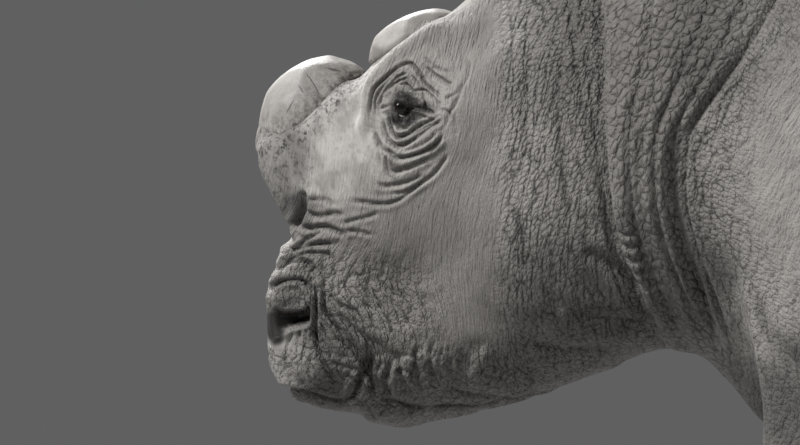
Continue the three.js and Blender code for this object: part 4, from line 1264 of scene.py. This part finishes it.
make_stump("horn_stump_front", "horn_front_stump", (1.22, 1.31))
make_stump("horn_stump_rear", "horn_rear_stump", (1.33, 1.38))


# ---- Nails -------------------------------------------------------------------------------------------------
# Three broad nails on every foot, of hard dull keratin, with rings of growth across them and chips along
# the lower edge.
NAIL_CELL = 2.6 * MM
NAIL_PALE = "8a847b"
NAIL_DARK = "5b554e"
NAIL_SCUFF = "a49d92"

nail, tree = new_material("worn_nail_keratin")
place = add(tree, "TexCoord", out=3)
rings = add(tree, "TexNoise", {}, {"Scale": 1.0, "Detail": 4.0, "Vector": add(
    tree, "VectorMath", {"operation": "DIVIDE"}, {0: place, 1: (60 * MM, 60 * MM, 5 * MM)})})
scuff = add(tree, "TexNoise", {}, {"Scale": 1.0, "Detail": 6.0, "Vector": add(
    tree, "VectorMath", {"operation": "DIVIDE"}, {0: place, 1: (9 * MM, 9 * MM, 16 * MM)})})
tone = add(tree, "ValToRGB", toned([(0.36, NAIL_DARK), (0.64, NAIL_PALE)]), {0: rings})
scuffed = add(tree, "ValToRGB", {"stops": [(0.52, 0.0), (0.70, 0.7)]}, {0: scuff})
tone = add(tree, "Mix", {"data_type": "RGBA"}, {0: scuffed, 6: tone, 7: colour(NAIL_SCUFF)}, out=2)
height = add(tree, "Math", {"operation": "MULTIPLY_ADD"}, {0: scuff, 1: 0.6, 2: rings})
relief_bump = add(tree, "Bump", {}, {"Strength": 0.8, "Distance": 1.2 * MM, "Height": height})
shader = add(tree, "BsdfPrincipled", {}, {"Base Color": tone, "Roughness": 0.6, "Normal": relief_bump})
add(tree, "OutputMaterial", {}, {"Surface": shader})

for foot in FEET:
    for toe in ("outer", "middle", "inner"):
        made = remade("hoof_nail_%s_%s" % (foot, toe), "nail_%s_%s" % (foot, toe), NAIL_CELL, 6)
        co, normal = places(made), directions(made)
        growth = 0.9 * clouds(co / MM / [70, 70, 7], 21) + 0.5 * clouds(co / MM / [6, 6, 80], 22)
        chipped = (1 - step(co[:, 2], 0.004, 0.016)) * np.maximum(clouds(co / MM / [12, 12, 12], 23), 0)
        put(made, co + normal * (growth - 3 * chipped)[:, None] * MM)
        painted(made, nail)
        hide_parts("nail_%s_%s" % (foot, toe))
        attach(made, "root")


# ---- Hair --------------------------------------------------------------------------------------------------
# Stiff dark bristles fringe the rims of the ears and the end of the tail, and short lashes stand on the
# upper lids. Each bristle is a bent blade of three sides that runs to a point.
BRISTLE_RINGS = 4
BRISTLE_TONES = [(0.35, "1b1817"), (0.7, "4a4541")]
BLADE_UNWRAP = 0.003       # the part of the unwrap that one blade takes
EAR_HAIR = {"count": 1300, "length": 22 * MM, "width": 0.9 * MM, "lean": (0, 0, 0.9), "droop": 0.06}
TAIL_HAIR = {"count": 800, "length": 70 * MM, "width": 1.6 * MM, "lean": (0, 0, -1.2), "droop": 0.25}
RIM_CURVE = 0.16           # how sharply the ear has to turn, at one cell's distance, to be its rim
LASHES = [(-12, 8), (-6, 8.5), (0, 7), (6, 3.5), (12, 0), (17, -3)]
LASH_SPACING = 1.2
LASH_WAY = (-0.25, -0.9, -0.35)   # forwards, out to the left and down
LASH_LENGTH = (6, 11)


def unwrapped(co):
    """Places on an unwrap of the hide: along the body, and round it."""
    along = (co[:, 0] - cad_box[0].x) / (cad_box[1].x - cad_box[0].x)
    around = np.arctan2(co[:, 1], co[:, 2] - 1.1) / (2 * np.pi) + 0.5
    return np.stack([0.02 + 0.95 * along, 0.02 + 0.95 * around], 1)


def blade_corners(roots, ways, lengths, width, droop, seed):
    """The corners of every blade: three to each ring, and one at its point."""
    random = np.random.default_rng(seed)
    side = np.cross(ways, random.normal(size=ways.shape))
    side /= np.linalg.norm(side, axis=1)[:, None]
    other = np.cross(ways, side)
    sink = np.array([0, 0, droop])
    corners = []
    for ring in range(BRISTLE_RINGS):
        t = ring / BRISTLE_RINGS
        middle = roots + ways * (lengths * t)[:, None] - sink * (lengths * t * t)[:, None]
        for turn in range(3):
            angle = 2 * math.pi * turn / 3
            radius = width / 2 * (1 - 0.75 * t)
            corners.append(middle + radius * (math.cos(angle) * side + math.sin(angle) * other))
    corners.append(roots + ways * lengths[:, None] - sink * lengths[:, None])
    return np.stack(corners, 1)


def blade_faces():
    """The faces of one blade: its root, the sides between its rings and its point."""
    faces = [(0, 2, 1)]
    for ring in range(BRISTLE_RINGS - 1):
        for turn in range(3):
            a, b = 3 * ring + turn, 3 * ring + (turn + 1) % 3
            faces += [(a, b, b + 3), (a, b + 3, a + 3)]
    top = 3 * (BRISTLE_RINGS - 1)
    faces += [(top + turn, top + (turn + 1) % 3, top + 3) for turn in range(3)]
    return np.array(faces)


def bristles(name, roots, ways, lengths, width, droop, seed):
    """One mesh of blades, each from its root along its own way, sinking towards its tip."""
    corners = blade_corners(roots, ways, lengths, width, droop, seed)
    each = corners.shape[1]
    faces = (blade_faces()[None] + each * np.arange(len(roots))[:, None, None]).reshape(-1, 3)
    mesh = bpy.data.meshes.new(name)
    mesh.from_pydata(corners.reshape(-1, 3).tolist(), [], faces.tolist())
    made = bpy.data.objects.new(name, mesh)
    bpy.context.scene.collection.objects.link(made)
    corner = np.repeat(unwrapped(roots), each, axis=0)
    corner[:, 0] += np.tile(np.arange(each) % 3 / 3 * BLADE_UNWRAP, len(roots))
    corner[:, 1] += np.tile(np.arange(each) // 3 / BRISTLE_RINGS * BLADE_UNWRAP, len(roots))
    layer = mesh.uv_layers.new(name="OFBake")
    layer.uv.foreach_set("vector", corner[faces.ravel()].astype(np.float32).ravel())
    painted(made, bristle)
    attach(made, "root")


# Coarse black-brown bristle, dull with dust.
bristle, tree = new_material("coarse_dark_bristle")
strand = add(tree, "TexNoise", {}, {"Scale": 110.0, "Detail": 2.0, "Vector": add(tree, "TexCoord", out=3)})
tone = add(tree, "ValToRGB", toned(BRISTLE_TONES), {0: strand})
shader = add(tree, "BsdfPrincipled", {}, {"Base Color": tone, "Roughness": 0.5})
add(tree, "OutputMaterial", {}, {"Surface": shader})


def turning(piece):
    """How far each vertex stands out from the middle of its neighbours, along its normal, in millimetres."""
    co = places(piece)
    ends = np.empty(len(piece.data.edges) * 2, np.int32)
    piece.data.edges.foreach_get("vertices", ends)
    ends = ends.reshape(-1, 2)
    total = np.zeros_like(co)
    count = np.zeros(len(co))
    for here, there in ((0, 1), (1, 0)):
        for axis in range(3):
            total[:, axis] += np.bincount(ends[:, here], co[ends[:, there], axis], len(co))
        count += np.bincount(ends[:, here], minlength=len(co))
    return ((co - total / count[:, None]) * directions(piece)).sum(1) / MM


skin_co, skin_normal, skin_turn = places(skin), directions(skin), turning(skin)


def hair_from(name, mask, seed, count, length, width, lean, droop):
    """Bristles at random places of the mask, out of the hide and leaning along lean."""
    random = np.random.default_rng(seed)
    rows = np.flatnonzero(mask > 0)
    chosen = random.choice(rows, size=count, p=mask[rows] / mask[rows].sum())
    roots = skin_co[chosen] + random.normal(size=(count, 3)) * 1.5 * MM
    ways = skin_normal[chosen] + np.array(lean) + random.normal(size=(count, 3)) * 0.22
    ways /= np.linalg.norm(ways, axis=1)[:, None]
    lengths = length * random.uniform(0.5, 1.0, count)
    bristles(name, roots - skin_normal[chosen] * 2 * MM, ways, lengths, width, droop, seed)


for name, side in (("left", 1), ("right", -1)):
    low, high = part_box("ear_" + name)
    inside = ((skin_co > np.array(low) - 0.01) & (skin_co < np.array(high) + 0.01)).all(1)
    rim = inside * np.clip(skin_turn - RIM_CURVE, 0, 1) * step(skin_co[:, 2], low.z + 0.05, low.z + 0.11)
    hair_from("ear_fringe_" + name, rim, 31 + side, **EAR_HAIR)
    roots = on_ball(curve_through(LASHES, LASH_SPACING), EYEBALL + LID + 2, side)
    random = np.random.default_rng(40)
    ways = np.array(LASH_WAY) * (1, side, 1) + random.normal(size=roots.shape) * 0.12
    ways /= np.linalg.norm(ways, axis=1)[:, None]
    lengths = random.uniform(*LASH_LENGTH, len(roots)) * MM
    bristles("lashes_" + name, roots, ways, lengths, 0.6 * MM, 0.3, 41)

low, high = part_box("tail")
tail_end = (skin_co[:, 0] > high.x - 0.09) & (skin_co[:, 2] < low.z + 0.24)   # clear of the rump
tail_side = np.abs(skin_normal[:, 0]) * tail_end
hair_from("tail_bristles", tail_side, 35, **TAIL_HAIR)


# ---- The floor, the light and the camera -------------------------------------------------------------------
# A pale floor, a broad soft light from high in front on the animal's left, a stronger one from its right,
# and a long lens square to the cheek, at the height of the jaw.
FLOOR_SIZE = 40
FLOOR_DOWN = 0.5 * MM      # keeps the floor clear of the soles
FLOOR_TONES = [(0.3, "a3a3a2"), (0.7, "a9a9a8")]
SURROUND = "606061"
FRAME_WIDTH = 1.12         # metres that the view spans at the head
LENS = 400
SENSOR = 36
AIM = Vector((-1.3339, -0.1712, 1.0897))

bpy.ops.object.select_all(action="DESELECT")
bpy.ops.mesh.primitive_plane_add(size=FLOOR_SIZE, location=(0, 0, -FLOOR_DOWN))
floor = bpy.context.view_layer.objects.active
floor.name = "studio_floor"
floor_paint, tree = new_material("pale_studio_floor")
mottle = add(tree, "TexNoise", {}, {"Scale": 3.0, "Vector": add(tree, "TexCoord", out=3)})
tone = add(tree, "ValToRGB", toned(FLOOR_TONES), {0: mottle})
shader = add(tree, "BsdfPrincipled", {}, {"Base Color": tone, "Roughness": 0.9})
add(tree, "OutputMaterial", {}, {"Surface": shader})
floor.data.materials.append(floor_paint)

world = bpy.data.worlds.new("studio")
world.use_nodes = True
world.node_tree.nodes["Background"].inputs["Color"].default_value = colour(SURROUND)
world.node_tree.nodes["Background"].inputs["Strength"].default_value = 1.0
bpy.context.scene.world = world


def sun(name, azimuth, height, strength, softness):
    """A broad soft lamp at this azimuth, 0 on the animal's left, and this height, both in degrees."""
    lamp = bpy.data.lights.new(name, "SUN")
    lamp.energy = strength
    lamp.angle = math.radians(softness)
    made = bpy.data.objects.new(name, lamp)
    bpy.context.scene.collection.objects.link(made)
    around, up = math.radians(azimuth), math.radians(height)
    source = Vector((math.sin(around) * math.cos(up), -math.cos(around) * math.cos(up), math.sin(up)))
    made.rotation_mode = "QUATERNION"
    made.rotation_quaternion = source.to_track_quat("Z", "Y")


sun("key_light", -50, 42, 2.95, 14)
sun("rim_light", -138, 40, 4.2, 16)

camera_data = bpy.data.cameras.new("camera")
camera = bpy.data.objects.new("camera", camera_data)
bpy.context.scene.collection.objects.link(camera)
camera_data.lens = LENS
camera_data.sensor_width = SENSOR
camera_data.clip_end = 1000
toward = Vector((math.sin(SLANT), -math.cos(SLANT), 0))
camera.location = AIM + toward * FRAME_WIDTH * LENS / SENSOR
camera.rotation_mode = "QUATERNION"
camera.rotation_quaternion = toward.to_track_quat("Z", "Y")
bpy.context.scene.camera = camera
bpy.context.scene.view_settings.view_transform = "Standard"
